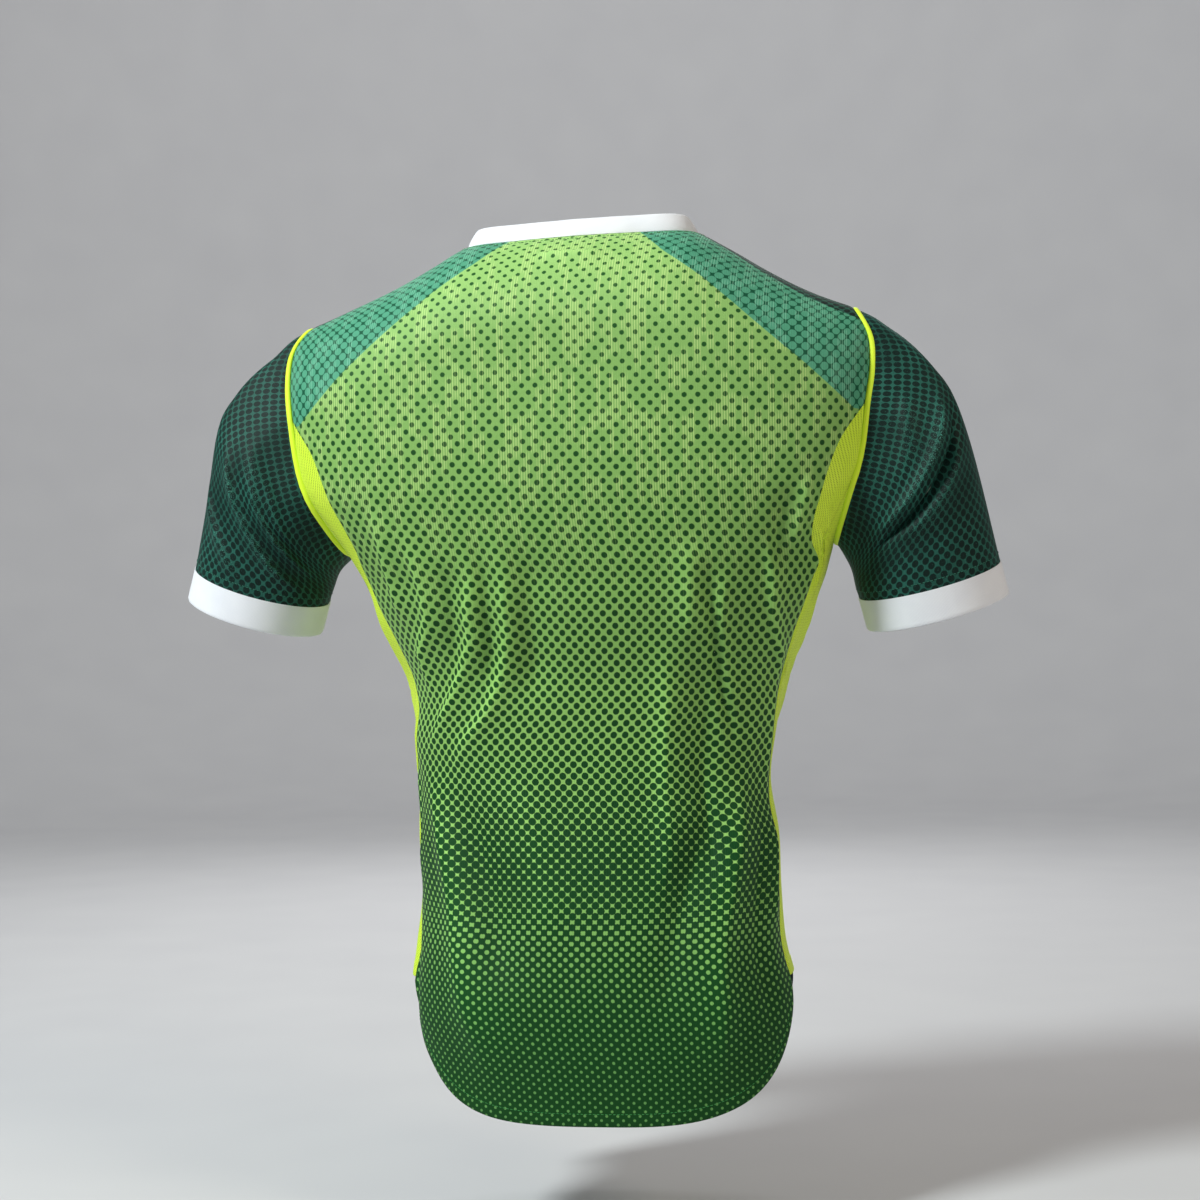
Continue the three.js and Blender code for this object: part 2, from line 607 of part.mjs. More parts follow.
// Every sheet of the jersey, by name
function jerseySheets() {
  const allRound = ['top', 'start', 'end'];
  const body = foldBody([
    { name: 'back_panel', slot: 'back_print', rows: bodyPanel('back'), outward: -1, seams: allRound },
    { name: 'front_panel', slot: 'front_print', rows: bodyPanel('front'), outward: 1, seams: allRound },
    { name: 'side_panel_left', slot: 'neon_mesh', rows: sidePanel(), outward: -1, seams: allRound },
    { name: 'side_panel_right', slot: 'neon_mesh', rows: mirror(sidePanel()), outward: 1, seams: allRound },
  ].map((sheet) => ({ ...sheet, closed: false, cloth: CLOTH })));
  const [back, front, sideLeft, sideRight] = body.map((sheet) => sheet.rows);

  const arms = [
    { name: 'left', hand: 1, side: sideLeft, columnOf: (row) => row.length - 1 },
    { name: 'right', hand: -1, side: sideRight, columnOf: () => 0 },
  ].flatMap(({ name, hand, side, columnOf }) => {
    const loop = armhole(back, front, side, columnOf);
    const { piping, sleeve, cuff } = armSheets(loop, hand, SLEEVE_FOLDS[name]);
    const ring = { closed: true, outward: hand };
    return [
      { ...ring, name: `piping_${name}`, slot: 'neon_piping', rows: piping, seams: ['bottom', 'top'],
        cloth: PIPING_CLOTH, crown: PIPING_CROWN },
      { ...ring, name: `sleeve_${name}`, slot: 'sleeve_print', rows: sleeve, seams: ['bottom', 'top'],
        cloth: CLOTH },
      { ...ring, name: `cuff_${name}`, slot: 'white_band', rows: cuff, seams: ['bottom'], cloth: BAND_CLOTH },
    ];
  });

  const collar = { name: 'collar', slot: 'white_band', rows: collarRows(back, front), closed: true,
    outward: -1, seams: ['bottom'], cloth: BAND_CLOTH };
  return [...body, ...arms, collar];
}

function buildJersey() {
  const sheets = jerseySheets();
  const normalAt = sharedNormals(sheets);
  const jersey = new THREE.Group();
  for (const sheet of sheets) {
    const material = new THREE.MeshStandardMaterial({
      color: COLOURS[sheet.slot],
      roughness: ROUGHNESS[sheet.slot],
      metalness: 0,
    });
    const mesh = new THREE.Mesh(wallGeometry(sheet, normalAt), material);
    mesh.name = sheet.name;
    jersey.add(mesh);
  }
  return jersey;
}

export default buildJersey();
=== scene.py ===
"""A short-sleeved football jersey in its worn, hollow form, seen from behind.

Sizes are millimetres until a mesh is made. +X is the wearer's left, +Y the wearer's back and +Z up.
"""

import math
from collections import namedtuple

import bpy
import numpy as np
from mathutils import Matrix, Vector
from mathutils.bvhtree import BVHTree


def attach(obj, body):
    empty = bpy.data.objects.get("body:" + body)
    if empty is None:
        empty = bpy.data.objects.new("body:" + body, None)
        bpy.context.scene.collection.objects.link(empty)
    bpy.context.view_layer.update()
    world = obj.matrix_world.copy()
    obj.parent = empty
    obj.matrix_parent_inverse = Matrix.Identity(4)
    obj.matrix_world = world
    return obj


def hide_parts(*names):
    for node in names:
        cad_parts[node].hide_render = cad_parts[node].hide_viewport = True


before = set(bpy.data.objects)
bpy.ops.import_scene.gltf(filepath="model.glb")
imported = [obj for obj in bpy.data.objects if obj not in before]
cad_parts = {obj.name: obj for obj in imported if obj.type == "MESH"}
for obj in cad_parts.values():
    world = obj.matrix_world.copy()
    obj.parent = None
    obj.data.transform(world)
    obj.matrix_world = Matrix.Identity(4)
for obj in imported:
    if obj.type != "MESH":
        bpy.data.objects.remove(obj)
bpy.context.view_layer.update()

MM = 0.001

# Cloth
CLOTH = 0.9
BAND_CLOTH = 2.0
PIPING_CLOTH = 1.6
SEAM_TUCK = 0.9
SEAM_TUCK_WIDTH = 2.6
HEM_DEPTH = 10.0
HEM_THICKENING = 0.45
HEM_STEP = (HEM_DEPTH - 1.5, HEM_DEPTH + 1)

# The cut, as in the solids
NECK_HALF_WIDTH = 99
NECK_DROP = {"back": 2, "front": 82}
NECK_SQUARENESS = 1.8
SHOULDER_TIP = {"x": 234, "z": -65}
RIDGE_Y = 5
SHOULDER_ROUND = {"back": 95, "front": 225}
ARMPIT_Z = -262
HORN_Z = -150
SIDE_HEM_Z = -627
HEM_DROP = {"back": 108, "front": 75}
HEM_SQUARENESS = 3.2
COLLAR_HEIGHT = 17
COLLAR_LEAN = 0.42
# How much more the collar leans in at the front and at its upper edge, and where the front begins
COLLAR_LEAN_AHEAD = 0.35
COLLAR_LEAN_UP = 0.25
COLLAR_AHEAD_Y = 80
PIPING_WIDTH = 5.5
PIPING_CROWN = 1.0
CUFF_HEIGHT = 27
CUFF_CENTRE = {"left": np.array([291.5, -12.0, -288.0]), "right": np.array([293.0, -12.0, -296.0])}
CUFF_HALF_WIDTH = 61
CUFF_HALF_DEPTH = 54
SLEEVE_OUT = {"left": math.radians(18), "right": math.radians(13.8)}
SLEEVE_FORWARD = math.radians(10)
# The sleeve's columns as plain, added on top, and added at the front and back: the way they leave the
# armhole, out, back and up, and how stiffly they leave it and reach the cuff
SLEEVE_LEAVES = ((0.75, 0.17, 0), (0, 0, 0.12), (-0.66, 0.26, 0))
LEAVING_STIFFNESS = (18, 80, 26)
ARRIVING_STIFFNESS = (18, 92, 30)
SIDE_TOP_POWER = 1.6
SIDE_SPREAD_FROM = 0.55

# Grid cells
NECK_CELLS = 36
NECK_SAMPLES = 1200
SHOULDER_CELLS = 50
LOW_ROWS = 150
HIGH_ROWS = 60
SIDE_CELLS = 24
COLUMN_SPREAD = 3
SLEEVE_ROWS = 84
PIPING_ROWS = 8
CUFF_ROWS = 10
COLLAR_ROWS = 10
FOLD_RINGS = 3
CURVE_SAMPLES = 256
SHARP_ANGLE = math.radians(50)

# Stitching
STITCH_LENGTH = 2.7
STITCH_PITCH = 3.3
STITCH_RADIUS = 0.3
STITCH_SIDES = 6
# A stitch's rings: the share of its length, of its radius, and how far its middle lies above the cloth
STITCH_FORM = ((0, 0.35, -0.3), (0.22, 0.95, 0.12), (0.5, 1, 0.12), (0.78, 0.95, 0.12), (1, 0.35, -0.3))
COLLAR_STITCH = 7.5
NECK_GROOVE = 0.55
NECK_GROOVE_WIDTH = 1.7
OFF_NECK = 40
CUFF_STITCH = 7.5

# The halftone print
# How far the front's print comes over the back of each shoulder: at the collar and at the armhole
STRIP = {"left": (1.5, 4), "right": (2, 11)}
YOKE_LINE = ((56, -3), (79, -24), (111, -47), (139, -70), (195, -118), (234, -155))
# The radius of the yoke's light dots near the neck, and how much smaller they are beyond these distances
YOKE_DOT = 0.35
YOKE_DOT_LESS = 0.02
YOKE_DOT_REACH = (70, 235)
PRINT_LENGTH = 735
# The heights along the cloth over which lattice rows are counted, and the step
LATTICE_RANGE = (-800, 260)
LATTICE_STEP = 2.0
ARC_SAMPLES = 32
SLEEVE_PITCH = 9.8
DOT_SOFTNESS = 0.035
NET_DOT = 0.31

# The camera's place, from behind and a little to the wearer's right
CAMERA_TURN = math.radians(188)
CAMERA_DISTANCE = 1900
CAMERA_HEIGHT = -308
CAMERA_ASIDE = 11.5
CAMERA_ROLL = math.radians(1.2)
CAMERA_LENS = 66
SENSOR = 36

FLOOR_Z = -830

# Each light's place and target in metres towards the camera, to its right and up, then the size, power
# and colour
LIGHTS = (
    ("key", (1.2, -1.7, 1.5), (0, 0, -0.35), 0.6, 86, (0.93, 1.0, 0.99)),
    ("fill", (1.5, 1.9, 1.1), (0, 0, -0.35), 1.0, 22, (1.0, 0.87, 0.7)),
    ("far_side", (-2.2, 0, 0.8), (0, 0, -0.35), 2.0, 14, (1, 1, 1)),
    ("wall_wash", (-1.6, 0, 2.6), (-5, 0, 0.3), 2.5, 60, (1, 1, 1)),
)


def table(columns, rows):
    """A table of numbers as one array for each named column."""
    return dict(zip(columns.split(), np.array(rows, float).T))


SHOULDER_LINE = table("x z", [
    (0, 10), (50, 7), (99, 0), (125, -14), (158, -32.5), (188, -47), (234, -65), (262, -73),
])

TORSO = table("z half back front square shift ease", [
    (-770, 164, 112, 98, 2.3, -16, 3), (-700, 164, 116, 99, 2.3, -14.5, 2),
    (-650, 164, 117, 100, 2.3, -9.5, 3), (-599, 160, 111, 101, 2.3, -6.5, -1.5),
    (-560, 157, 104, 101, 2.3, -8, -2.5), (-512, 156, 95, 102, 2.3, -8, -2.5),
    (-458, 154, 88, 105, 2.3, -4, -3.5), (-425, 157, 88, 107, 2.3, -4, -1.5),
    (-394, 162, 91, 110, 2.3, -8, -4.5), (-372, 167, 94, 113, 2.3, -9, -5.5),
    (-342, 180, 101, 119, 2.4, -9, -6), (-308, 193, 108, 125, 2.5, -8.5, -3.5),
    (-290, 199, 110, 127, 2.5, -8, -1.5), (-275, 204, 112, 128, 2.55, -6, 0),
    (-262, 210, 113, 129, 2.6, -4, 0), (-250, 218, 114, 130, 2.6, -2.5, 0),
    (-235, 228, 115, 130, 2.6, -1, 0), (-218, 240, 116, 130, 2.6, 0, 0),
    (-200, 248, 116, 129, 2.6, 0, 0), (-180, 252, 116, 128, 2.6, 0, 0),
    (-150, 256, 115, 124, 2.6, 0, 0), (-100, 259, 113, 118, 2.6, 0, 0),
    (-65, 260, 112, 115, 2.6, 0, 0), (30, 262, 110, 112, 2.6, -6, 0),
])

SIDE_SEAMS = table("z back front", [
    (-770, 161.5, 161.5), (-650, 161.5, 161.5), (-560, 155, 155), (-458, 153, 153), (-394, 158.5, 158),
    (-342, 174.5, 173), (-308, 186, 183), (-290, 191, 187), (-275, 193, 188), (-262, 193.5, 188),
    (-245, 198, 189), (-225, 206, 193), (-205, 213, 199), (-180, 223, 208), (-150, 243.7, 224),
])

ARMHOLE = table("z back front", [
    (-262, 210, 210), (-250, 215.5, 210.5), (-235, 222, 212), (-220, 228, 214), (-200, 235, 217),
    (-180, 239.5, 220), (-150, 243.7, 224), (-115, 248, 230), (-90, 246, 234), (-65, 234, 234),
])

# The print by height: the lattice's pitch across and up, the radius of the dark dots, and of the light
# dots that are left between them, as shares of the pitch across
PRINT = table("z across up dark light", [
    (-760, 8.8, 7.0, 0.2, 0.125), (-690, 9.0, 7.3, 0.2, 0.135), (-665, 9.1, 7.6, 0.21, 0.145),
    (-630, 9.2, 8.0, 0.23, 0.165), (-590, 9.3, 8.5, 0.28, 0.21), (-560, 9.35, 8.8, 0.34, 0.28),
    (-541, 9.4, 8.9, 0.358, 0.4), (-474, 9.5, 9.3, 0.33, 0.6), (-433, 9.55, 9.6, 0.3, 0.6),
    (-283, 10.4, 10.6, 0.245, 0.6), (-165, 11.0, 11.4, 0.2, 0.6), (-20, 11.0, 11.4, 0.16, 0.6),
    (30, 11.0, 11.4, 0.15, 0.6),
])

Fold = namedtuple("Fold", "path width depth skew", defaults=[0])

# The folds of the body. A path's points are degrees round the body, 0 at the middle of the back, 90 at
# the wearer's left side and 180 at the middle of the front, and the height. A positive depth is a
# ridge, a negative one a trough, and a skew, where there is one, makes one flank steeper than the other.
BODY_FOLDS = [
    # Back, on the wearer's left
    ([(38, -221), (43, -250), (50, -284), (56, -330)], 7, 2.2, 0.3),
    ([(33, -240), (36, -271), (41, -322), (52, -350), (58, -395)], 7.5, 2.8, 0.35),
    ([(19, -255), (21, -285), (26, -323), (29, -344), (51, -413), (60, -440)], 8, 3.4, 0.4),
    ([(12, -245), (13, -281), (16, -336), (23, -376), (28, -400), (38, -430), (47, -455)], 8, 3.4, 0.4),
    ([(17, -250), (17, -273), (21, -339), (30, -385)], 6, -2.2),
    ([(7, -250), (7, -274), (10, -343), (14, -400)], 11, -2.8),
    ([(26, -270), (31, -320), (40, -370)], 6, -1.8),
    # Back, on the wearer's right
    ([(-21, -255), (-22, -277), (-24, -317), (-28, -350)], 9, 2.4),
    ([(-26, -270), (-28, -300), (-34, -339), (-40, -372), (-46, -403), (-54, -440)], 5.5, -3.0, 0.3),
    ([(-32, -280), (-34, -320), (-41, -360), (-52, -410)], 7, 2.6, -0.3),
    ([(-42, -250), (-50, -300), (-58, -335), (-70, -360), (-78, -390)], 7, 2.6, 0.3),
    ([(-48, -205), (-52, -240), (-55, -275)], 7, 2.2, 0.3),
    ([(-43, -215), (-48, -262), (-52, -290)], 5, -2.0),
    ([(-19, -330), (-23, -400), (-24, -480), (-20, -570)], 11, 2.6, 0.2),
    ([(-33, -350), (-38, -430), (-40, -500), (-36, -560)], 11, -2.8),
    # Back, from the waist to the hem
    ([(64, -440), (50, -520), (36, -620), (28, -715)], 18, 3.6, 0.2),
    ([(42, -455), (30, -540), (18, -640)], 15, -2.6),
    ([(20, -440), (12, -520), (6, -600)], 14, 1.6),
    ([(-62, -430), (-50, -520), (-40, -620), (-34, -725)], 18, 3.4, -0.2),
    ([(-40, -470), (-28, -560), (-18, -660)], 15, -2.6),
    ([(-70, -480), (-62, -580), (-58, -680)], 12, -2.0),
    ([(-72, -370), (-76, -410), (-78, -440), (-79, -478)], 9, 1.2),
    ([(-80, -490), (-78, -530), (-74, -590)], 9, 1.4),
    ([(80, -425), (82, -480), (78, -560)], 8, 1.5),
    ([(80, -560), (72, -620), (64, -720)], 8, -2.4),
    # A flat ridge under the collar
    ([(-4, -23), (3.4, -21)], 3, 1.7, 0.3),
    # The twist of the right side panel
    ([(-69, -236), (-68, -262), (-72, -296)], 3.5, 2.0),
    ([(-73, -246), (-73, -268), (-76, -300)], 3.5, -1.8),
    # Sides
    ([(74, -290), (84, -360), (96, -430)], 9, 2.6),
    ([(-82, -290), (-94, -360), (-106, -440)], 9, 1.8),
    # Front
    ([(112, -290), (126, -370), (142, -450)], 11, 3.4, 0.3),
    ([(138, -270), (150, -370), (158, -470)], 11, -2.6),
    ([(120, -270), (136, -340), (150, -400)], 8, 2.4, 0.3),
    ([(-110, -280), (-122, -360), (-138, -440)], 11, 3.6, -0.3),
    ([(-134, -265), (-150, -370), (-160, -480)], 11, -2.6),
    ([(-124, -280), (-136, -330), (-150, -420)], 8, 2.2, -0.3),
    ([(122, -450), (140, -560), (160, -690)], 18, 3.4),
    ([(-118, -440), (-134, -560), (-152, -700)], 18, 3.6),
    ([(168, -440), (172, -560), (176, -660)], 14, -2.0),
]

# The folds of a sleeve. A path's points are degrees round it, 0 under the arm, 90 behind and 180 on top,
# and the share of the way from the armhole to the cuff.
SLEEVE_FOLDS = {
    "left": [
        ([(128, 0.3), (100, 0.52), (70, 0.72), (40, 0.86)], 7, 3.2, 0.4),
        ([(108, 0.14), (84, 0.34), (56, 0.52), (30, 0.62)], 7, 2.8, 0.4),
        ([(150, 0.6), (124, 0.76), (92, 0.94)], 7, 2.2, 0.3),
        ([(86, 0.16), (66, 0.3), (46, 0.4)], 6, 1.8, 0.3),
        ([(172, 0.02), (172, 0.4)], 18, -2.4),
        ([(262, 0.25), (290, 0.5), (318, 0.8)], 10, 3.2),
        ([(240, 0.4), (262, 0.62), (290, 0.9)], 8, 2.2),
    ],
    "right": [
        ([(146, 0.34), (128, 0.46), (98, 0.52), (66, 0.53), (34, 0.5)], 5, -3.6, 0.3),
        ([(146, 0.24), (124, 0.36), (96, 0.42), (66, 0.42), (40, 0.38)], 8, 3.0, -0.4),
        ([(140, 0.44), (120, 0.56), (92, 0.62), (64, 0.62)], 8, 2.0, 0.3),
        ([(126, 0.12), (104, 0.22), (76, 0.32)], 9, 1.8),
        ([(172, 0.02), (172, 0.4)], 18, -1.0),
        ([(255, 0.3), (290, 0.5), (322, 0.72)], 10, 3.2),
    ],
}
TURN_TO_MM = {"torso": 2.3, "sleeve": 0.95}
SLEEVE_RUN = 195
FOLD_ENDS = 0.3
FOLD_SHARPNESS = 1.5
FOLD_DEPTH = 2.2
# How high a fold must rise, in millimetres, for the painted highlight on its ridge to be full
RIDGE_FULL = 7.0
FOLD_STEPS = 24
FOLD_REACH = 3.2
NECK_TILT = 0.03
TILT_HEIGHTS = (-120, -20)
TILT_REACH = (-210, -110)
SLEEVE_FOLD_FADE = 0.1
RIPPLE_HEIGHT = 0.8
RIPPLES_BEGIN = (60, 160)
# The faint waves of the worn cloth: how fast each runs round and up, its start and its size
RIPPLES = ((0.071, 0.021, 0.3, 0.34), (-0.048, 0.035, 1.9, 0.3), (0.033, -0.052, 4.1, 0.3),
           (0.112, 0.037, 2.6, 0.14), (-0.094, 0.061, 5.2, 0.12))

# How far the cloth has turned on the body, degrees to the wearer's right, at each side's seams
SLIDE = table("z left right", [
    (-770, 3, 2), (-627, 3.6, 1.8), (-590, 3.4, 1.8), (-568, 2.4, 2.2), (-548, -1.5, 3.4), (-500, -2, 3.4),
    (-480, -1.8, 1.2), (-462, -0.5, 2.6), (-444, 2.8, 3.8), (-400, 4, 4.2), (-340, 1.5, 1.5), (-290, 0, 0),
])
SLIDE_FROM = (35, 72)


def curve(columns, column, place, across="z"):
    """A smooth curve through a table's rows, with slopes from the neighbouring rows."""
    at, value = columns[across], columns[column]
    place = np.clip(place, at[0], at[-1])
    step = np.diff(at)
    rise = np.diff(value) / step
    inner = (step[1:] * rise[:-1] + step[:-1] * rise[1:]) / (step[1:] + step[:-1])
    slope = np.concatenate([rise[:1], inner, rise[-1:]])
    row = np.clip(np.searchsorted(at, place, side="right") - 1, 0, len(step) - 1)
    t = (place - at[row]) / step[row]
    return (
        (2 * t**3 - 3 * t**2 + 1) * value[row]
        + (t**3 - 2 * t**2 + t) * step[row] * slope[row]
        + (3 * t**2 - 2 * t**3) * value[row + 1]
        + (t**3 - t**2) * step[row] * slope[row + 1]
    )


def torso(column, z):
    return curve(TORSO, column, z)


def shoulder_line(x):
    return curve(SHOULDER_LINE, "z", np.abs(x), across="x")


def smooth(low, high, value):
    t = np.clip((value - low) / (high - low), 0, 1)
    return t * t * (3 - 2 * t)


def unit(vectors):
    return vectors / np.maximum(np.linalg.norm(vectors, axis=-1, keepdims=True), 1e-12)


def lengths_along(points, axis=0):
    """How far each point lies along its line, from the first."""
    steps = np.linalg.norm(np.diff(points, axis=axis), axis=-1)
    start = np.zeros_like(np.take(steps, [0], axis=axis))
    return np.concatenate([start, np.cumsum(steps, axis=axis)], axis=axis)


def section_angle(x, z):
    """The angle round a squared section, 0 at the middle and a quarter turn at the side."""
    share = np.minimum(np.abs(x) / torso("half", z), 1)
    return np.arcsin(share ** (torso("square", z) / 2))


def section_reach(column, wave, z):
    """A squared section's reach aside, or to its back or front, from an angle's sine or cosine."""
    return torso(column, z) * wave ** (2 / torso("square", z))


def section_depth(x, z, face):
    square = torso("square", z)
    share = np.minimum(np.abs(x) / torso("half", z), 1)
    return torso(face, z) * (1 - share**square) ** (1 / square)


def shoulder_share(x, z, face):
    """How far below the shoulder line a point is, as a share of the shoulder's round."""
    return np.clip((shoulder_line(x) - z) / SHOULDER_ROUND[face], 0, 1)


def rounded(share):
    return np.sqrt(1 - (1 - share) ** 2)


def body_point(x, z, face):
    """The point of the worn body at a distance from the middle and a height, on its back or front."""
    x, z = np.broadcast_arrays(np.asarray(x, float), np.asarray(z, float))
    rounding = rounded(shoulder_share(x, z, face))
    depth = section_depth(x, z, face) * (1 if face == "back" else -1)
    return np.stack([x, RIDGE_Y * (1 - rounding) + depth * rounding, z], -1)


def hem_height(across, face):
    return SIDE_HEM_Z - HEM_DROP[face] * (1 - across**HEM_SQUARENESS)


def upper_edge(x, face):
    """The height of a panel's upper edge: the neckline, then the shoulder seam."""
    share = np.minimum(x / NECK_HALF_WIDTH, 1) ** NECK_SQUARENESS
    neckline = -NECK_DROP[face] * (1 - share) ** (1 / NECK_SQUARENESS)
    return np.where(x >= NECK_HALF_WIDTH, shoulder_line(x), neckline)


def column_tops(face):
    """Where each column of half a panel reaches the upper edge: evenly along neckline and shoulder."""
    x = NECK_HALF_WIDTH * np.sin(np.linspace(0, math.pi / 2, NECK_SAMPLES + 1))
    run = lengths_along(body_point(x, upper_edge(x, face), face))
    neck = np.interp(run[-1] * np.arange(NECK_CELLS) / NECK_CELLS, run, x)
    return np.concatenate([neck, np.linspace(NECK_HALF_WIDTH, SHOULDER_TIP["x"], SHOULDER_CELLS + 1)])


def row_shares():
    """How far up each row lies, 0 at the hem and 1 at the upper edge, with a row at the side's tips."""
    tip = (HORN_Z - SIDE_HEM_Z) / (SHOULDER_TIP["z"] - SIDE_HEM_Z)
    low = tip * np.arange(LOW_ROWS + 1) / LOW_ROWS
    high = tip + (1 - tip) * np.sin(np.arange(1, HIGH_ROWS + 1) / HIGH_ROWS * math.pi / 2)
    return np.concatenate([low, high])


def body_panel(face):
    """The back or front panel, row by row from the hem up, from the wearer's right to the left."""
    tops = column_tops(face)
    across = np.arange(len(tops)) / (len(tops) - 1)
    armpit = (ARMPIT_Z - SIDE_HEM_Z) / (SHOULDER_TIP["z"] - SIDE_HEM_Z)
    share = row_shares()[:, None]
    hem = hem_height(across, face)
    z = hem + (upper_edge(tops, face) - hem) * share
    edge_z = z[:, -1:]
    low_rows = np.arange(len(share))[:, None] <= LOW_ROWS
    edge_x = np.where(low_rows, curve(SIDE_SEAMS, face, edge_z), curve(ARMHOLE, face, edge_z))
    angle = section_angle(edge_x, edge_z) * across
    low = section_reach("half", np.sin(angle), z)
    rise = np.maximum((share - armpit) / (1 - armpit), 0) ** COLUMN_SPREAD
    x = low + (tops - low) * rise
    x = x + (edge_x - x[:, -1:]) * across**2
    half = body_point(x, z, face)
    return np.concatenate([half[:, :0:-1] * (-1, 1, 1), half], axis=1)


def side_panel():
    """The wearer's left side panel, from the hem up, from its back seam round to its front seam."""
    middle = SIDE_CELLS // 2
    share = np.arange(LOW_ROWS + 1) / LOW_ROWS
    rise = smooth(SIDE_SPREAD_FROM, 1, share)
    columns = []
    for j in range(SIDE_CELLS + 1):
        face = "back" if j <= middle else "front"
        aside = abs(j - middle) / middle
        top_z = ARMPIT_Z + (HORN_Z - ARMPIT_Z) * aside**SIDE_TOP_POWER
        z = SIDE_HEM_Z + (top_z - SIDE_HEM_Z) * share
        seam = section_angle(curve(SIDE_SEAMS, face, z), z)
        even = math.pi / 2 - (math.pi / 2 - seam) * aside
        top = math.pi / 2 if j == middle else section_angle(curve(ARMHOLE, face, top_z), top_z)
        angle = np.minimum(even + (top - even[-1]) * rise, math.pi / 2)
        columns.append(body_point(section_reach("half", np.sin(angle), z), z, face))
    return np.stack(columns, axis=1)


def fold_lift(fold, place, scale):
    """How far one fold lifts each point at a place in millimetres along its own two directions."""
    knots = np.array(fold.path, float) * scale
    spots = np.linspace(0, len(knots) - 1, FOLD_STEPS + 1)
    numbered = {"knot": np.arange(len(knots), dtype=float), "a": knots[:, 0], "b": knots[:, 1]}
    line = np.stack([curve(numbered, side, spots, across="knot") for side in "ab"], -1)
    reach = FOLD_REACH * fold.width
    near = np.all((place >= line.min(0) - reach) & (place <= line.max(0) + reach), axis=-1)
    lift = np.zeros(place.shape[:-1])
    points = place[near]
    best = np.full(len(points), np.inf)
    along, aside = np.zeros(len(points)), np.zeros(len(points))
    run = lengths_along(line)
    for start, end, begun in zip(line[:-1], line[1:], run[:-1]):
        way = end - start
        size = np.hypot(*way)
        offset = points - start
        t = np.clip(offset @ way / size**2, 0, 1)
        distance = np.hypot(*(offset - t[:, None] * way).T)
        closer = distance < best
        best = np.where(closer, distance, best)
        side = np.sign(offset[:, 0] * way[1] - offset[:, 1] * way[0])
        aside = np.where(closer, side * distance, aside)
        along = np.where(closer, (begun + t * size) / run[-1], along)
    taper = smooth(0, FOLD_ENDS, along) * smooth(0, FOLD_ENDS, 1 - along)
    width = fold.width * (1 + fold.skew * np.sign(aside))
    lift[near] = fold.depth * taper * np.exp(-(np.abs(aside / width) ** FOLD_SHARPNESS))
    return lift


def all_folds(rows, place, scale):
    return FOLD_DEPTH * sum(fold_lift(Fold(*row), place, scale) for row in rows)


def body_turn(points):
    """The degrees round the body, 0 at the middle of the back and up to 180 either way."""
    x, y, z = np.moveaxis(points, -1, 0)
    quarter = section_angle(x, z)
    return np.where(x < 0, -1, 1) * np.degrees(np.where(y >= 0, quarter, math.pi - quarter))


def body_place(points):
    """Where each point of the body lies in the folds' own directions, in millimetres."""
    return np.stack([body_turn(points) * TURN_TO_MM["torso"], points[..., 2]], -1)


def slid(points):
    """The points after the cloth has turned on the body, still on its sections."""
    z = points[..., 2]
    start = body_turn(points)
    from_middle = np.minimum(np.abs(start), 180 - np.abs(start))
    turned = np.where(start < 0, curve(SLIDE, "right", z), curve(SLIDE, "left", z))
    slide = turned * smooth(*SLIDE_FROM, from_middle)
    turn = (start - slide + 180) % 360 - 180
    behind = np.abs(turn) <= 90
    quarter = np.radians(np.where(behind, np.abs(turn), 180 - np.abs(turn)))
    x = np.sign(turn) * section_reach("half", np.sin(quarter), z)
    moved = np.where(behind[..., None], body_point(x, z, "back"), body_point(x, z, "front"))
    return np.where((np.abs(slide) > 1e-6)[..., None], moved, points)


def ripples(place):
    """A faint unevenness of the worn cloth, from a few crossing waves."""
    a, b = np.moveaxis(place, -1, 0)
    return RIPPLE_HEIGHT * sum(size * np.sin(p * a + q * b + start) for p, q, start, size in RIPPLES)


def wrapped(rows):
    """Closed rings with their first point again at the end."""
    return np.concatenate([rows, rows[:, :1]], axis=1)


def cell_crosses(sheet, rows):
    """The cross product of the two diagonals of each cell of a grid."""
    wide = wrapped(rows) if sheet["closed"] else rows
    return np.cross(wide[1:, 1:] - wide[:-1, :-1], wide[1:, :-1] - wide[:-1, 1:])


def grid_normals(sheet):
    """The sum of the unit normals of the cells round each point of a grid."""
    cells = unit(cell_crosses(sheet, sheet["rows"])) * sheet["outward"]
    if sheet["closed"]:
        cells = cells + np.roll(cells, 1, axis=1)
    else:
        cells = np.pad(cells, ((0, 0), (0, 1), (0, 0))) + np.pad(cells, ((0, 0), (1, 0), (0, 0)))
    return np.pad(cells, ((0, 1), (0, 0), (0, 0))) + np.pad(cells, ((1, 0), (0, 0), (0, 0)))


def shared_normals(sheets):
    """One outward normal for each point, the same for every sheet that shares the point."""
    points = np.concatenate([sheet["rows"].reshape(-1, 3) for sheet in sheets])
    sums = np.concatenate([grid_normals(sheet).reshape(-1, 3) for sheet in sheets])
    _, group = np.unique(np.round(points * 1000).astype(np.int64), axis=0, return_inverse=True)
    group = group.ravel()
    total = np.zeros((group.max() + 1, 3))
    np.add.at(total, group, sums)
    ends = np.cumsum([sheet["rows"][..., 0].size for sheet in sheets])
    parts = np.split(unit(total[group]), ends[:-1])
    return [part.reshape(sheet["rows"].shape) for part, sheet in zip(parts, sheets)]


def seam_distance(rows, edges):
    """How far each point lies from the nearest of the named edges, along its row or column."""
    up = lengths_along(rows, axis=0)
    along = lengths_along(rows, axis=1)
    ways = {"bottom": up, "top": up[-1:] - up, "start": along, "end": along[:, -1:] - along}
    return np.minimum.reduce([ways[edge] for edge in edges])


def tuck(distance):
    """The cloth dips where a seam holds it."""
    return -SEAM_TUCK * np.exp(-((distance / SEAM_TUCK_WIDTH) ** 2))


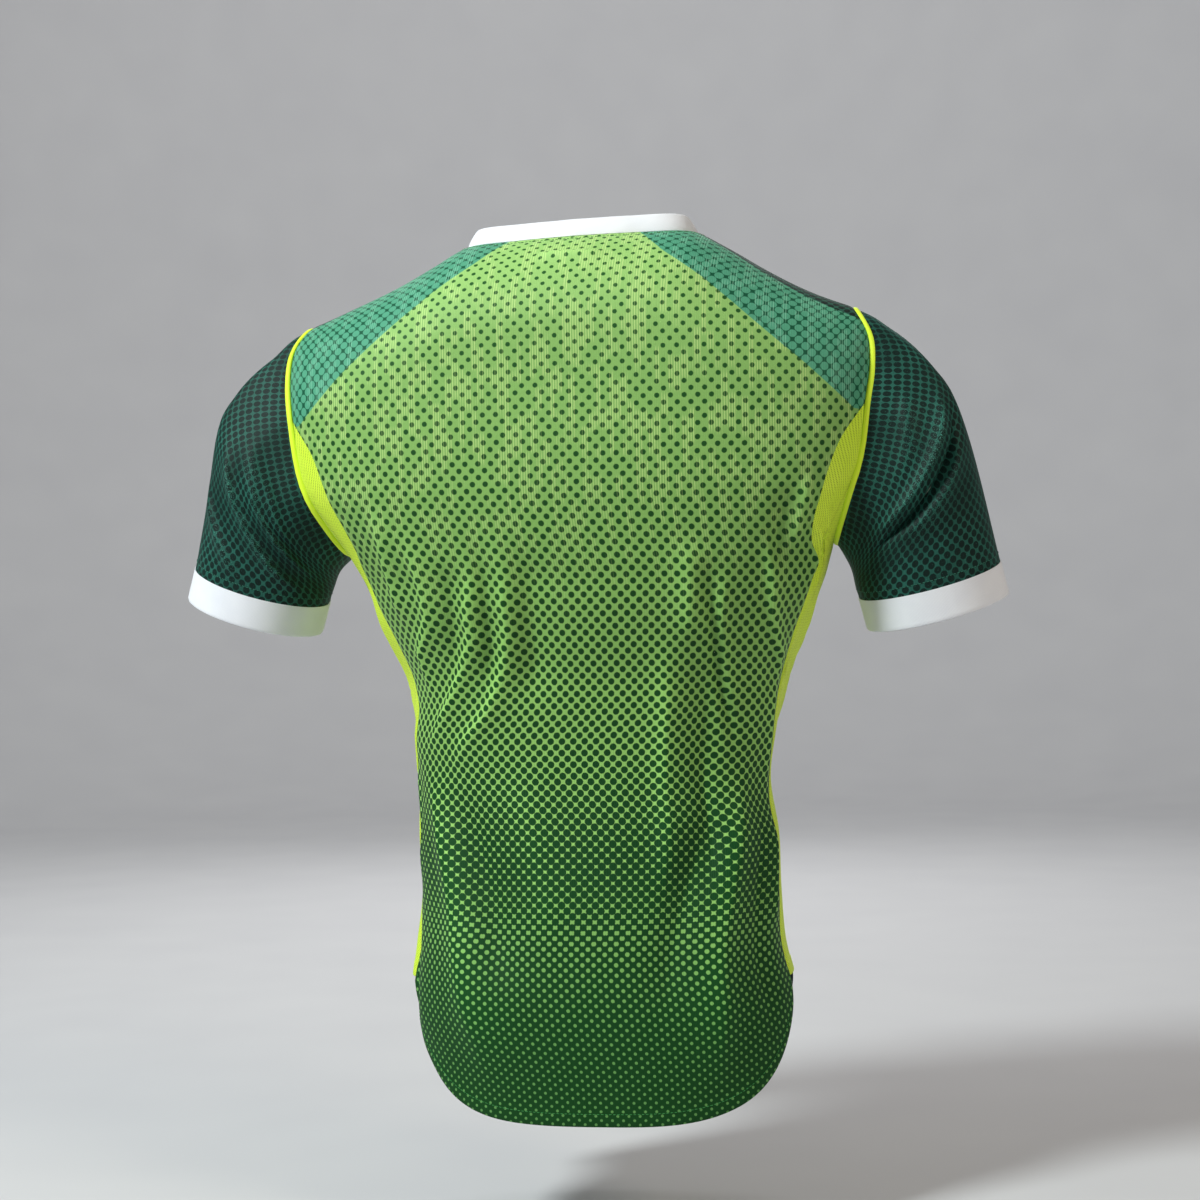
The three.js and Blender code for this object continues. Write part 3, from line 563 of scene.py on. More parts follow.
def folded_body(sheets):
    """The body's sheets with their folds, their seams' tucks and the sideways hang of the cloth."""
    moved = []
    for sheet, normals in zip(sheets, shared_normals(sheets)):
        rows = sheet["rows"]
        x, z = rows[..., 0], rows[..., 2]
        place = body_place(rows)
        folds = all_folds(BODY_FOLDS, place, (TURN_TO_MM["torso"], 1))
        lift = folds + ripples(place) * smooth(*RIPPLES_BEGIN, -z)
        lift = lift + tuck(seam_distance(rows, sheet["seams"]))
        from_neck = seam_distance(rows, ["top"]) + OFF_NECK * (np.abs(x) > NECK_HALF_WIDTH)
        lift = lift - NECK_GROOVE * np.exp(-(((from_neck - COLLAR_STITCH) / NECK_GROOVE_WIDTH) ** 2))
        points = rows + normals * lift[..., None]
        points[..., 0] += torso("shift", z) + torso("ease", z) * x / torso("half", z)
        points[..., 2] -= NECK_TILT * x * smooth(*TILT_HEIGHTS, z) * smooth(*TILT_REACH, -np.abs(x))
        # ridge is each point's share of a fold ridge's height, which paints a highlight on the ridges in the
        # materials
        moved.append({**sheet, "rows": points, "ridge": np.clip(folds / RIDGE_FULL, 0, 1)})
    return moved


def armhole(back, front, side, column):
    """The armhole from the armpit up the back to the shoulder and down the front, with each turn."""
    middle = SIDE_CELLS // 2
    side_top = side[LOW_ROWS]
    back_edge = back[LOW_ROWS + 1:, column]
    front_edge = front[LOW_ROWS + 1:-1, column][::-1]
    rising = np.concatenate([side_top[middle::-1], back_edge])
    falling = np.concatenate([back_edge[-1:], front_edge, side_top[:middle - 1:-1]])
    turns = []
    for points, start in ((rising, 0), (falling, 180)):
        run = lengths_along(points)
        turns.append(start + 180 * run / run[-1])
    return np.concatenate([rising, falling[1:-1]]), np.concatenate([turns[0], turns[1][1:-1]])


def sleeve_columns(loop, turn, hand):
    """A sleeve's columns, as smooth curves from the armhole to the cuff's ring."""
    side = "left" if hand > 0 else "right"
    out, forward = SLEEVE_OUT[side], SLEEVE_FORWARD
    down = np.array([
        math.sin(out) * math.cos(forward), -math.sin(forward), -math.cos(out) * math.cos(forward),
    ])
    outward = np.array([math.cos(out), 0, math.sin(out)])
    behind = -np.cross(down, outward)
    behind = behind * np.sign(behind[1])
    mirror = np.array([hand, 1, 1])
    angle = np.radians(turn)[:, None]
    upper, aside = (1 - np.cos(angle)) / 2, np.sin(angle)

    def stiffness(plain, on_top, beside):
        return plain + on_top * upper + beside * np.abs(aside)

    round_cuff = aside * CUFF_HALF_DEPTH * behind - np.cos(angle) * CUFF_HALF_WIDTH * outward
    end = CUFF_CENTRE[side] + round_cuff
    ways = [plain + on_top * upper + beside * aside for plain, on_top, beside in SLEEVE_LEAVES]
    leave = unit(np.concatenate(ways, axis=1)) * mirror
    knots = [loop, loop + leave * stiffness(*LEAVING_STIFFNESS),
             (end - down * stiffness(*ARRIVING_STIFFNESS)) * mirror, end * mirror]
    t = np.linspace(0, 1, CURVE_SAMPLES)[:, None, None]
    weights = [(1 - t) ** 3, 3 * t * (1 - t) ** 2, 3 * t**2 * (1 - t), t**3]
    lines = sum(w * k for w, k in zip(weights, knots))
    return lines, lengths_along(lines), down * mirror


def rings_at(lines, run, distances):
    """Rings of points at the given distances along each column."""
    rings = np.empty((len(distances), lines.shape[1], 3))
    for j in range(lines.shape[1]):
        for axis in range(3):
            rings[:, j, axis] = np.interp(distances[:, j], run[:, j], lines[:, j, axis])
    return rings


def arm_sheets(loop, turn, hand, folds):
    """The piping, sleeve and cuff of one arm, as closed rings from the armhole to the cuff's end."""
    lines, run, down = sleeve_columns(loop, turn, hand)
    shares = [np.linspace(0, 1, count + 1)[:, None] for count in (PIPING_ROWS, SLEEVE_ROWS, CUFF_ROWS)]
    piping = rings_at(lines, run, PIPING_WIDTH * shares[0] + 0 * run[-1])
    share = shares[1]
    plain = rings_at(lines, run, PIPING_WIDTH + (run[-1] - PIPING_WIDTH) * share)
    place = np.stack(np.broadcast_arrays(turn * TURN_TO_MM["sleeve"], share * SLEEVE_RUN), -1)
    folded = all_folds(folds, place, (TURN_TO_MM["sleeve"], SLEEVE_RUN))
    fade = smooth(0, SLEEVE_FOLD_FADE, share) * smooth(0, SLEEVE_FOLD_FADE, 1 - share)
    lift = (folded + ripples(place)) * fade
    sheet = {"rows": plain, "closed": True, "outward": hand}
    sleeve = plain + shared_normals([sheet])[0] * lift[..., None]
    cuff = sleeve[-1] + down * CUFF_HEIGHT * shares[2][..., None]
    # The last value is each point's share of a fold ridge's height, for the painted highlight on the sleeve's
    # ridges
    return piping, sleeve, cuff, plain, np.clip(folded * fade / RIDGE_FULL, 0, 1)


def neck_ring(back, front):
    """The neckline's points, along the back from the wearer's right, then along the front."""
    middle = back.shape[1] // 2
    parts = [rows[-1, middle - NECK_CELLS:middle + NECK_CELLS + 1] for rows in (back, front)]
    return np.concatenate([parts[0], parts[1][::-1][1:-1]])


def collar_rows(ring):
    """The collar band, as closed rings that rise from the neckline and lean in over it."""
    centre = ring.mean(0)
    inward = unit((centre - ring) * (1, 1, 0))
    ahead = np.clip((centre[1] - ring[:, 1:2]) / COLLAR_AHEAD_Y, 0, 1)
    rows = []
    for share in np.linspace(0, 1, COLLAR_ROWS + 1):
        lean = COLLAR_LEAN + COLLAR_LEAN_AHEAD * ahead + COLLAR_LEAN_UP * (share - 0.5)
        rows.append(ring + unit(inward * lean + (0, 0, 1)) * COLLAR_HEIGHT * share)
    return np.stack(rows)


# Measures of the print on the cloth


def section_arc(x, z, face):
    """How far a point lies from the middle along the level section through it."""
    angle = section_angle(x, z)[..., None] * np.linspace(0, 1, ARC_SAMPLES + 1)
    aside = section_reach("half", np.sin(angle), z[..., None])
    away = section_reach(face, np.cos(angle), z[..., None])
    return np.sign(x) * np.hypot(np.diff(aside, axis=-1), np.diff(away, axis=-1)).sum(-1)


def height_on_cloth(x, z, face):
    """The height along the cloth, which runs on over the round of the shoulder."""
    below = shoulder_share(x, z, face)
    places = below[..., None] + (1 - below[..., None]) * np.linspace(0, 1, ARC_SAMPLES + 1)
    level = rounded(places) * section_depth(x, z, face)[..., None]
    arc = np.hypot(np.diff(places, axis=-1) * SHOULDER_ROUND[face], np.diff(level, axis=-1)).sum(-1)
    return z + arc - (1 - below) * SHOULDER_ROUND[face]


def lattice_rows(height):
    """The number of lattice rows below a height, from the pitch of the print there."""
    places = np.arange(*LATTICE_RANGE, LATTICE_STEP)
    steps = 1 / curve(PRINT, "up", places)
    count = np.concatenate([[0], np.cumsum((steps[1:] + steps[:-1]) / 2) * LATTICE_STEP])
    return np.interp(height, places, count)


def layers(dots, cloth, **fields):
    """A sheet's places in the dots' lattice and on the cloth, and the values at its points."""
    maps = {"Dots": dots, "Cloth": cloth}
    return {"maps": {title: np.stack(pair, -1) for title, pair in maps.items() if pair}, "fields": fields}


def panel_layers(sheet, face):
    """The print's and the knit's places over a body panel, from its form without folds."""
    x, z = sheet["plain"][..., 0], sheet["plain"][..., 2]
    across, up = section_arc(x, z, face), height_on_cloth(x, z, face)
    pitch = {column: curve(PRINT, column, z) for column in PRINT}
    yoke_x, yoke_z = np.array(YOKE_LINE, float).T
    slope = (yoke_z[-1] - yoke_z[0]) / (yoke_x[-1] - yoke_x[0])
    edge = np.interp(np.abs(x), yoke_x, yoke_z)
    edge = np.where(np.abs(x) < yoke_x[0], yoke_z[0] + slope * (np.abs(x) - yoke_x[0]), edge)
    reach = (np.abs(x) - NECK_HALF_WIDTH) / (SHOULDER_TIP["x"] - NECK_HALF_WIDTH)
    inner, outer = (np.where(x > 0, *ends) for ends in zip(STRIP["left"], STRIP["right"]))
    strip = inner + (outer - inner) * reach - (shoulder_line(x) - z)
    return layers(
        (across / pitch["across"], lattice_rows(up)), (across, up), ridge=sheet["ridge"],
        aspect=pitch["up"] / pitch["across"], dark_dot=pitch["dark"], light_dot=pitch["light"],
        yoke=z - edge, yoke_dot=YOKE_DOT - YOKE_DOT_LESS * smooth(*YOKE_DOT_REACH, np.abs(x)),
        height=(z + PRINT_LENGTH) / PRINT_LENGTH, strip=np.where(np.abs(x) > NECK_HALF_WIDTH, strip, -1))


def ring_layers(rows, turn, **fields):
    """The places over a closed tube of rings, measured both ways from the column on top."""
    along = lengths_along(wrapped(rows), axis=1)
    top = np.argmin(np.abs(turn - 180))
    across = along - along[:, top:top + 1]
    away = lengths_along(wrapped(rows))
    up = away[-1:] - away
    return layers((across / SLEEVE_PITCH, up / SLEEVE_PITCH), (across, up), **fields)


def side_layers(plain):
    along = lengths_along(plain, axis=1)
    return layers((), (along - along[:, -1:] / 2, plain[..., 2]))


# Meshes


def profile(sheet, normals):
    """The rings of a sheet's wall in order round its section, each with the row it comes from."""
    rows, half = sheet["rows"], sheet["cloth"] / 2
    thick = half + sheet["crown"] * np.sin(np.linspace(0, math.pi, len(rows)))[:, None]
    if sheet["hem"]:
        thick = thick + HEM_THICKENING * (1 - smooth(*HEM_STEP, lengths_along(rows)))
    outer = rows + normals * np.broadcast_to(thick, rows.shape[:2])[..., None]
    inner = rows - normals * half
    last = len(rows) - 1

    def turned_edge(row, beyond):
        way = unit(rows[row] - rows[beyond])
        middle = (outer[row] + inner[row]) / 2
        reach = np.linalg.norm(outer[row] - inner[row], axis=-1, keepdims=True) / 2
        turns = np.linspace(0, math.pi, FOLD_RINGS + 2)[1:-1]
        return [middle + reach * (normals[row] * math.cos(a) + way * math.sin(a)) for a in turns]

    top = [] if "top" in sheet["seams"] else turned_edge(last, last - 1)
    bottom = [] if "bottom" in sheet["seams"] else turned_edge(0, 1)[::-1]
    source = [*range(last + 1), *[last] * len(top), *range(last, -1, -1), *[0] * len(bottom)]
    return np.stack([*outer, *top, *inner[::-1], *bottom]), np.array(source)


def cap_faces(rows, count, columns):
    """The faces that close both side edges of a body panel's wall, down to its turned hem."""
    inner = [2 * rows - 1 - i for i in range(rows)]
    loops = [[i + 1, i, inner[i], inner[i + 1]] for i in range(rows - 1)]
    loops.append([0, *range(count - 1, inner[0] - 1, -1)])
    start = [[ring * columns for ring in loop] for loop in loops]
    end = [[ring * columns + columns - 1 for ring in loop[::-1]] for loop in loops]
    return start + end


def in_scene(name, data):
    """A new object in the scene that holds these data."""
    made = bpy.data.objects.new(name, data)
    bpy.context.scene.collection.objects.link(made)
    return made


def build_mesh(name, points, faces, materials, corner_maps=None, fields=None, face_materials=None):
    """A smooth mesh object from points in millimetres, with its UV maps, point values and materials."""
    mesh = bpy.data.meshes.new(name)
    mesh.from_pydata((np.asarray(points) * MM).tolist(), [], faces)
    for title, values in (corner_maps or {}).items():
        layer = mesh.uv_layers.new(name=title)
        layer.data.foreach_set("uv", np.asarray(values, np.float32).ravel())
    for title, values in (fields or {}).items():
        attribute = mesh.attributes.new(title, "FLOAT", "POINT")
        attribute.data.foreach_set("value", np.asarray(values, np.float32).ravel())
    for material in materials:
        mesh.materials.append(material)
    if face_materials is not None:
        mesh.polygons.foreach_set("material_index", np.asarray(face_materials, np.int32))
    mesh.polygons.foreach_set("use_smooth", np.ones(len(faces), bool))
    mesh.set_sharp_from_angle(angle=SHARP_ANGLE)
    mesh.update()
    return in_scene(name, mesh)


def signed_volume(points, quads):
    a, b, c, d = np.moveaxis(points[quads], 1, 0)
    return np.sum(a * np.cross(b, c) + a * np.cross(c, d))


def wall_piece(sheet, normals, materials):
    """The cloth wall of a sheet, with its print and knit measured over both of its faces."""
    rings, source = profile(sheet, normals)
    count, columns = rings.shape[:2]
    rows = len(sheet["rows"])
    cells = columns if sheet["closed"] else columns - 1
    k, j = (part.ravel() for part in np.meshgrid(np.arange(count), np.arange(cells), indexing="ij"))
    after = (k + 1) % count
    corners = [(k, j), (after, j), (after, j + 1), (k, j + 1)]
    quads = np.stack([ring * columns + column % columns for ring, column in corners], 1)
    points = rings.reshape(-1, 3)
    caps = [] if sheet["closed"] else cap_faces(rows, count, columns)
    if signed_volume(points, quads) < 0:
        quads, corners, caps = quads[:, ::-1], corners[::-1], [loop[::-1] for loop in caps]
    maps = {}
    for title, values in sheet["layers"]["maps"].items():
        quad_values = np.stack([values[source[a], b] for a, b in corners], 1).reshape(-1, 2)
        cap_values = [values[source[v // columns], v % columns] for loop in caps for v in loop]
        maps[title] = np.concatenate([quad_values, np.array(cap_values).reshape(-1, 2)])
    fields = {title: values[source] for title, values in sheet["layers"]["fields"].items()}
    first_inner = rows + (0 if "top" in sheet["seams"] else FOLD_RINGS)
    hem = sheet["hem"] & (lengths_along(sheet["rows"])[source[k], j] < HEM_DEPTH)
    inside = (k >= first_inner) & (k < first_inner + rows - 1) & ~hem
    face_materials = np.concatenate([inside.astype(int), np.zeros(len(caps), int)])
    looks = [materials[look] for look in SLOT_LOOKS[sheet["slot"]]]
    outer = (points[:rows * columns] * MM).tolist()
    sheet["surface"] = BVHTree.FromPolygons(outer, quads[k < rows - 1].tolist())
    return build_mesh(
        sheet["name"] + "_cloth", points, quads.tolist() + caps, looks, maps, fields, face_materials)


def tube_faces(rings, sides):
    """The faces between rings that have the same number of points each."""
    pairs = [(i * sides, j, (j + 1) % sides) for i in range(rings - 1) for j in range(sides)]
    return [[low + j, low + after, low + sides + after, low + sides + j] for low, j, after in pairs]


def stitch_row(name, path, closed, surfaces, material):
    """A row of short raised stitches along a path, laid on the nearest of the surfaces."""
    line = np.concatenate([path, path[:1]]) if closed else path
    run = lengths_along(line)
    count = int(run[-1] // STITCH_PITCH)
    points = []
    for start in (np.arange(count) + 0.5) * run[-1] / count - STITCH_LENGTH / 2:
        spots = []
        for share, _, _ in STITCH_FORM:
            wanted = Vector([np.interp(start + share * STITCH_LENGTH, run, axis) * MM for axis in line.T])
            found = min((surface.find_nearest(wanted) for surface in surfaces), key=lambda hit: hit[3])
            spots.append(found[:2])
        way = (spots[-1][0] - spots[0][0]).normalized()
        for (spot, normal), (_, size, rise) in zip(spots, STITCH_FORM):
            side = normal.cross(way).normalized()
            for turn in np.arange(STITCH_SIDES) * 2 * math.pi / STITCH_SIDES:
                reach = side * math.cos(turn) + normal * math.sin(turn)
                points.append(spot / MM + normal * rise + reach * STITCH_RADIUS * size)
    rings, sides = len(STITCH_FORM), STITCH_SIDES
    ends = [list(range(sides))[::-1], list(range((rings - 1) * sides, rings * sides))]
    stitch = tube_faces(rings, sides) + ends
    faces = [[first + n for n in face] for first in range(0, len(points), rings * sides) for face in stitch]
    return build_mesh(name, points, faces, [material])


# Materials


class Wire:
    """A value in a material's node tree. Arithmetic on it adds Math nodes."""

    def __init__(self, tree, socket):
        self.tree = tree
        self.socket = socket

    def math(self, operation, *others):
        return add_node(self.tree, "Math", dict(enumerate((self, *others))), operation=operation)

    def __add__(self, other):
        return self.math("ADD", other)

    def __sub__(self, other):
        return self.math("SUBTRACT", other)

    def __mul__(self, other):
        return self.math("MULTIPLY", other)

    def __truediv__(self, other):
        return self.math("DIVIDE", other)

    def flipped(self):
        return self * -1 + 1

    def step(self, low, high):
        """0 below low, 1 above high and a soft rise between them."""
        places = {"Value": self, "From Min": low, "From Max": high}
        return add_node(self.tree, "MapRange", places, "Result", interpolation_type="SMOOTHSTEP")

    def from_centre(self):
        """The distance with its sign to the nearest whole number."""
        return (self + 0.5).math("FRACT") - 0.5


def feed(place, value):
    """Gives an input a wire, a number, or an sRGB colour of 0 to 255."""
    if isinstance(value, Wire):
        place.id_data.links.new(value.socket, place)
    else:
        place.default_value = linear(value) if isinstance(value, tuple) else value


def add_node(tree, kind, values, output=0, **settings):
    """The output of a new node with these settings and values of its inputs."""
    node = tree.nodes.new("ShaderNode" + kind)
    for name, value in settings.items():
        setattr(node, name, value)
    for place, value in values.items():
        feed(node.inputs[place], value)
    return Wire(tree, node.outputs[output])


def linear(colour):
    """The linear colour of an sRGB one given as 0 to 255."""
    shares = [c / 255 for c in colour]
    return tuple(c / 12.92 if c <= 0.04045 else ((c + 0.055) / 1.055) ** 2.4 for c in shares) + (1,)


def uv_places(tree, title):
    places = add_node(tree, "UVMap", {}, uv_map=title)
    return [add_node(tree, "SeparateXYZ", {0: places}, output) for output in (0, 1)]


def point_value(tree, title):
    return add_node(tree, "Attribute", {}, "Fac", attribute_name=title)


def combine(x, y):
    return add_node(x.tree, "CombineXYZ", {0: x, 1: y})


def noise(place, scale, detail=2.0):
    return add_node(place.tree, "TexNoise", {"Vector": place, "Scale": scale, "Detail": detail}, "Fac")


def mix(share, first, second):
    return add_node(share.tree, "Mix", {0: share, 6: first, 7: second}, 2, data_type="RGBA")


def brighten(colour, factor):
    """A colour times a number that varies over the cloth."""
    return add_node(factor.tree, "VectorMath", {0: colour, "Scale": factor}, operation="SCALE")


def ramp(place, stops):
    """A colour from a list of (place, sRGB colour) stops."""
    node = place.tree.nodes.new("ShaderNodeValToRGB")
    elements = node.color_ramp.elements
    for _ in stops[2:]:
        elements.new(1.0)
    for element, (position, colour) in zip(elements, stops):
        element.position = position
        element.color = linear(colour)
    feed(node.inputs[0], place)
    return Wire(place.tree, node.outputs[0])


def waves(place, period):
    """A smooth wave from 0 to 1 with one crest in each period."""
    return (place * (2 * math.pi / period)).math("SINE") * 0.5 + 0.5


def cloth_shader(colour, height, roughness, bump_depth, sheen, sheen_tint=(255, 255, 255)):
    """A cloth's shader, with its colour, roughness and the relief of its knit."""
    relief = {"Strength": 1.0, "Distance": bump_depth * MM, "Height": height}
    values = {
        "Base Color": colour, "Roughness": roughness, "Specular IOR Level": 0.16, "Sheen Weight": sheen,
        "Sheen Roughness": 0.45, "Sheen Tint": sheen_tint, "Normal": add_node(height.tree, "Bump", relief),
    }
    for place, value in values.items():
        feed(height.tree.nodes["Principled BSDF"].inputs[place], value)


def new_material(name):
    material = bpy.data.materials.new(name)
    material.use_nodes = True
    return material, material.node_tree


def knit(tree):
    """The knit's own pattern, its relief and groups of brighter ribs, and loose specks of painted glint."""
    across, up = uv_places(tree, "Cloth")
    place = combine(across, up)
    ribs = waves(across, 1.45)
    loops = waves(up + across * 0.35, 1.1)
    groups = noise(combine((across / 5.4).math("FLOOR") * 3.7, up * 0.026), 1.0, 1.0).step(0.48, 0.57)
    fine = noise(combine(across * 0.9 + up * 0.5, up * 0.9 - across * 0.5), 1.0, 3.0)
    return {
        "relief": ribs * 0.7 + loops * ribs * 0.3,
        "lines": waves(across, 2.1).step(0.55, 0.95) * groups,
        # Painted glints: loose bright specks in patches over the cloth
        "glint_specks": fine.step(0.62, 0.72) * noise(place, 0.03, 1.0).step(0.52, 0.64),
        "fine": fine,
        "grain": noise(place, 1.3),
        "place": place,
    }


def dot_places(tree, grain):
    """The places in the dots' lattice, in pitches, made uneven by the knit."""
    across, up = uv_places(tree, "Dots")
    jag = grain - 0.5
    return across + jag * 0.05, up + jag * 0.08


def nearest(across, up, aspect):
    """Distances from the lattice's dark centres and from its light centres."""
    whole = across.from_centre(), up.from_centre() * aspect
    half = (across + 0.5).from_centre(), (up + 0.5).from_centre() * aspect

    def closer(*pairs):
        ways = [(a * a + b * b).math("SQRT") for a, b in pairs]
        return ways[0].math("MINIMUM", ways[1])

    return closer(whole, half), closer((half[0], whole[1]), (whole[0], half[1]))


def within(distance, radius):
    """1 inside a dot's radius and 0 outside it, with a soft edge."""
    return (distance * -1 + radius).step(-DOT_SOFTNESS, DOT_SOFTNESS)


def back_print():
    """Dark dots on lime that grow to leave light dots on dark green, and light dots on teal at the yoke."""
    material, tree = new_material("back_halftone")
    texture = knit(tree)
    across, up = dot_places(tree, texture["grain"])
    dark, light = nearest(across, up, point_value(tree, "aspect"))
    height, ridge = point_value(tree, "height"), point_value(tree, "ridge")

    between = within(light, point_value(tree, "light_dot")).flipped()
    dots = within(dark, point_value(tree, "dark_dot")).math("MAXIMUM", between)
    # Painted light and shade: the mint and the dark green are lighter near the shoulders and darker lower
    # down, as the light falls off downwards
    mint = ramp(height, [
        (0.0, (98, 154, 84)), (0.1, (106, 162, 86)), (0.3, (146, 198, 104)), (0.48, (140, 188, 98)),
        (0.62, (128, 173, 90)), (0.85, (134, 180, 98)), (1.0, (156, 202, 116))])
    dark_green = ramp(height, [
        (0.0, (14, 68, 22)), (0.3, (12, 64, 24)), (0.6, (18, 62, 20)), (1.0, (34, 88, 34))])
    uneven = texture["grain"] * 0.2 + 0.84
    # Painted highlight: the lime is lighter on fold ridges and at the painted glint specks, and varies at
    # random in tone
    lime = brighten(mix(dots, mint, dark_green), texture["glint_specks"] * 0.35 + ridge * 0.3 + uneven)
    streaks = (height - 0.5).step(0.0, 0.3) * texture["lines"] * (dots * -0.35 + 0.55)
    lime = mix(streaks, lime, (206, 228, 148))

    teal = mix(within(light, point_value(tree, "yoke_dot")), (14, 84, 58), (80, 156, 124))
    # The teal gets the painted glint specks as well
    teal = brighten(teal, texture["glint_specks"] * 0.25 + uneven)
    teal = mix(texture["lines"] * 0.4, teal, (150, 208, 178))
    colour = mix(point_value(tree, "yoke").step(-0.4, 0.4), lime, teal)

    net = mix(within(dark, NET_DOT), (34, 84, 68), (6, 28, 22))
    colour = mix(point_value(tree, "strip").step(-0.3, 0.3), colour, net)
    cloth_shader(colour, texture["relief"], texture["grain"] * 0.12 + 0.52, 0.12, 0.03)
    return material


def net_print(name, fading):
    """Very dark dots on a teal net. On the front the dots grow to plain dark cloth at the hem."""
    material, tree = new_material(name)
    texture = knit(tree)
    across, up = dot_places(tree, texture["grain"])
    dark, _ = nearest(across, up, point_value(tree, "aspect") if fading else 1.0)
    radius = point_value(tree, "height").flipped() * 0.22 + 0.28 if fading else NET_DOT
    ridge = point_value(tree, "ridge")
    net = mix(noise(texture["place"], 0.02).step(0.3, 0.7), (24, 68, 58), (36, 92, 80))
    colour = mix(within(dark, radius), net, (6, 30, 26))
    # Painted glints: bright teal specks of reflected light on the net, more and stronger along the fold
    # ridges
    painted_glints = (texture["fine"] + ridge * 0.1).step(0.6, 0.74) * (ridge * 0.4 + 0.16)
    colour = mix(painted_glints, colour, (96, 170, 152))
    # The net is brighter at the rib groups, at the painted glint specks and at random with the grain
    bright = texture["lines"] * 0.15 + texture["glint_specks"] * 0.4 + texture["grain"] * 0.3 + 0.8
    roughness = texture["grain"] * 0.15 + 0.5
    cloth_shader(brighten(colour, bright), texture["relief"], roughness, 0.12, 0.05, (159, 255, 237))
    return material


def ribbed_cloth(name, first, second, period, roughness, relief, sheen):
    """A plain cloth with fine ribs and a soft change between two colours."""
    material, tree = new_material(name)
    across, up = uv_places(tree, "Cloth")
    place = combine(across, up)
    ribs, grain = waves(across + up * 0.1, period), noise(place, 1.4)
    tone = mix(noise(place, 0.04), first, second)
    colour = brighten(tone, ribs * 0.05 + grain * 0.06 + 0.91)
    cloth_shader(colour, ribs * 0.6 + grain * 0.4, grain * 0.1 + roughness, relief, sheen)
    return material


def neon_mesh():
    """A neon knit with diagonal rows of tiny holes, drawn as dents with painted shade in them."""
    material, tree = new_material("neon_mesh_knit")
    across, up = uv_places(tree, "Cloth")
    place = combine(across, up)
    ways = [(diagonal / 2.6).from_centre() for diagonal in (across + up, across - up)]
    solid = (ways[0] * ways[0] + ways[1] * ways[1]).math("SQRT").step(0.2, 0.32)
    base = mix(noise(place, 0.03), (206, 240, 58), (226, 250, 82))
    # Painted shade: the holes are darker, for the shaded inside of the jersey seen through them
    colour = mix(solid.flipped() * 0.6, base, (98, 132, 24))
    cloth_shader(colour, solid + noise(place, 1.5) * 0.3, 0.55, 0.3, 0.03)
    return material


def thread(name, colour):
    material, tree = new_material(name)
    grain = noise(add_node(tree, "TexCoord", {}, "Object"), 3000.0)
    cloth_shader(mix(grain, colour, tuple(min(c * 1.25, 255) for c in colour)), grain, 0.5, 0.05, 0.1)
    return material


def studio_floor():
    """A pale floor that curves up into a wall all round."""
    radius, bend, height, turns = 3600, 1600, 2800, 96
    arc = [(radius + bend * math.sin(a), bend * (1 - math.cos(a))) for a in np.linspace(0, math.pi / 2, 25)]
    outline = [(1, 0), (radius / 2, 0)] + arc + [(radius + bend, height)]
    points = [(r * math.cos(a), r * math.sin(a), FLOOR_Z + z)
              for r, z in outline for a in np.arange(turns) * 2 * math.pi / turns]
    material, tree = new_material("pale_floor")
    mottle = noise(add_node(tree, "TexCoord", {}, "Object"), 6.0, 1.0)
    shader = tree.nodes["Principled BSDF"]
    feed(shader.inputs["Base Color"], mix(mottle, (196, 196, 199), (203, 203, 205)))
    feed(shader.inputs["Roughness"], 0.8)
    build_mesh("studio_floor", points, tube_faces(len(outline), turns), [material])


def make_camera():
    """The camera, and the level ways from the jersey towards it and to its right."""
    up = Vector((0, 0, 1))
    back = Vector((math.sin(CAMERA_TURN), -math.cos(CAMERA_TURN), 0))
    right = up.cross(back)
    across = right * math.cos(CAMERA_ROLL) - up * math.sin(CAMERA_ROLL)
    upward = right * math.sin(CAMERA_ROLL) + up * math.cos(CAMERA_ROLL)
    place = (Vector((0, 0, CAMERA_HEIGHT)) + back * CAMERA_DISTANCE + right * CAMERA_ASIDE) * MM
    data = bpy.data.cameras.new("camera")
    data.lens, data.sensor_width = CAMERA_LENS, SENSOR
    camera = in_scene("camera", data)
    camera.matrix_world = Matrix.Translation(place) @ Matrix((across, upward, back)).transposed().to_4x4()
    bpy.context.scene.camera = camera
    return back, right


def make_lights(back, right):
    """Soft light from beside and above the camera, and a weaker one from the far side."""
    for name, place, target, size, power, colour in LIGHTS:
        place, target = (
            sum((way * share for way, share in zip((back, right, Vector((0, 0, 1))), shares)), Vector())
            for shares in (place, target))
        data = bpy.data.lights.new(name, "AREA")
        data.shape, data.size, data.energy, data.color = "DISK", size, power, colour
        light = in_scene(name, data)
        light.location = place
        light.rotation_mode = "QUATERNION"
        light.rotation_quaternion = (target - place).to_track_quat("-Z", "Y")
    world = bpy.data.worlds.new("studio")
    world.use_nodes = True
    background = world.node_tree.nodes["Background"].inputs
    background["Color"].default_value = (1, 1, 1, 1)
    background["Strength"].default_value = 0.16
    bpy.context.scene.world = world
    bpy.context.scene.view_settings.view_transform = "Standard"


# Pieces


# Each slot's material on the outside and on the inside
SLOT_LOOKS = {
    "back_print": ("back_halftone", "back_reverse"),
    "front_print": ("front_halftone", "dark_reverse"),
    "sleeve_print": ("sleeve_halftone", "dark_reverse"),
    "white_band": ("white_rib", "white_rib"),
    "neon_mesh": ("neon_mesh_knit", "neon_mesh_knit"),
    "neon_piping": ("neon_piping_tape", "neon_piping_tape"),
}

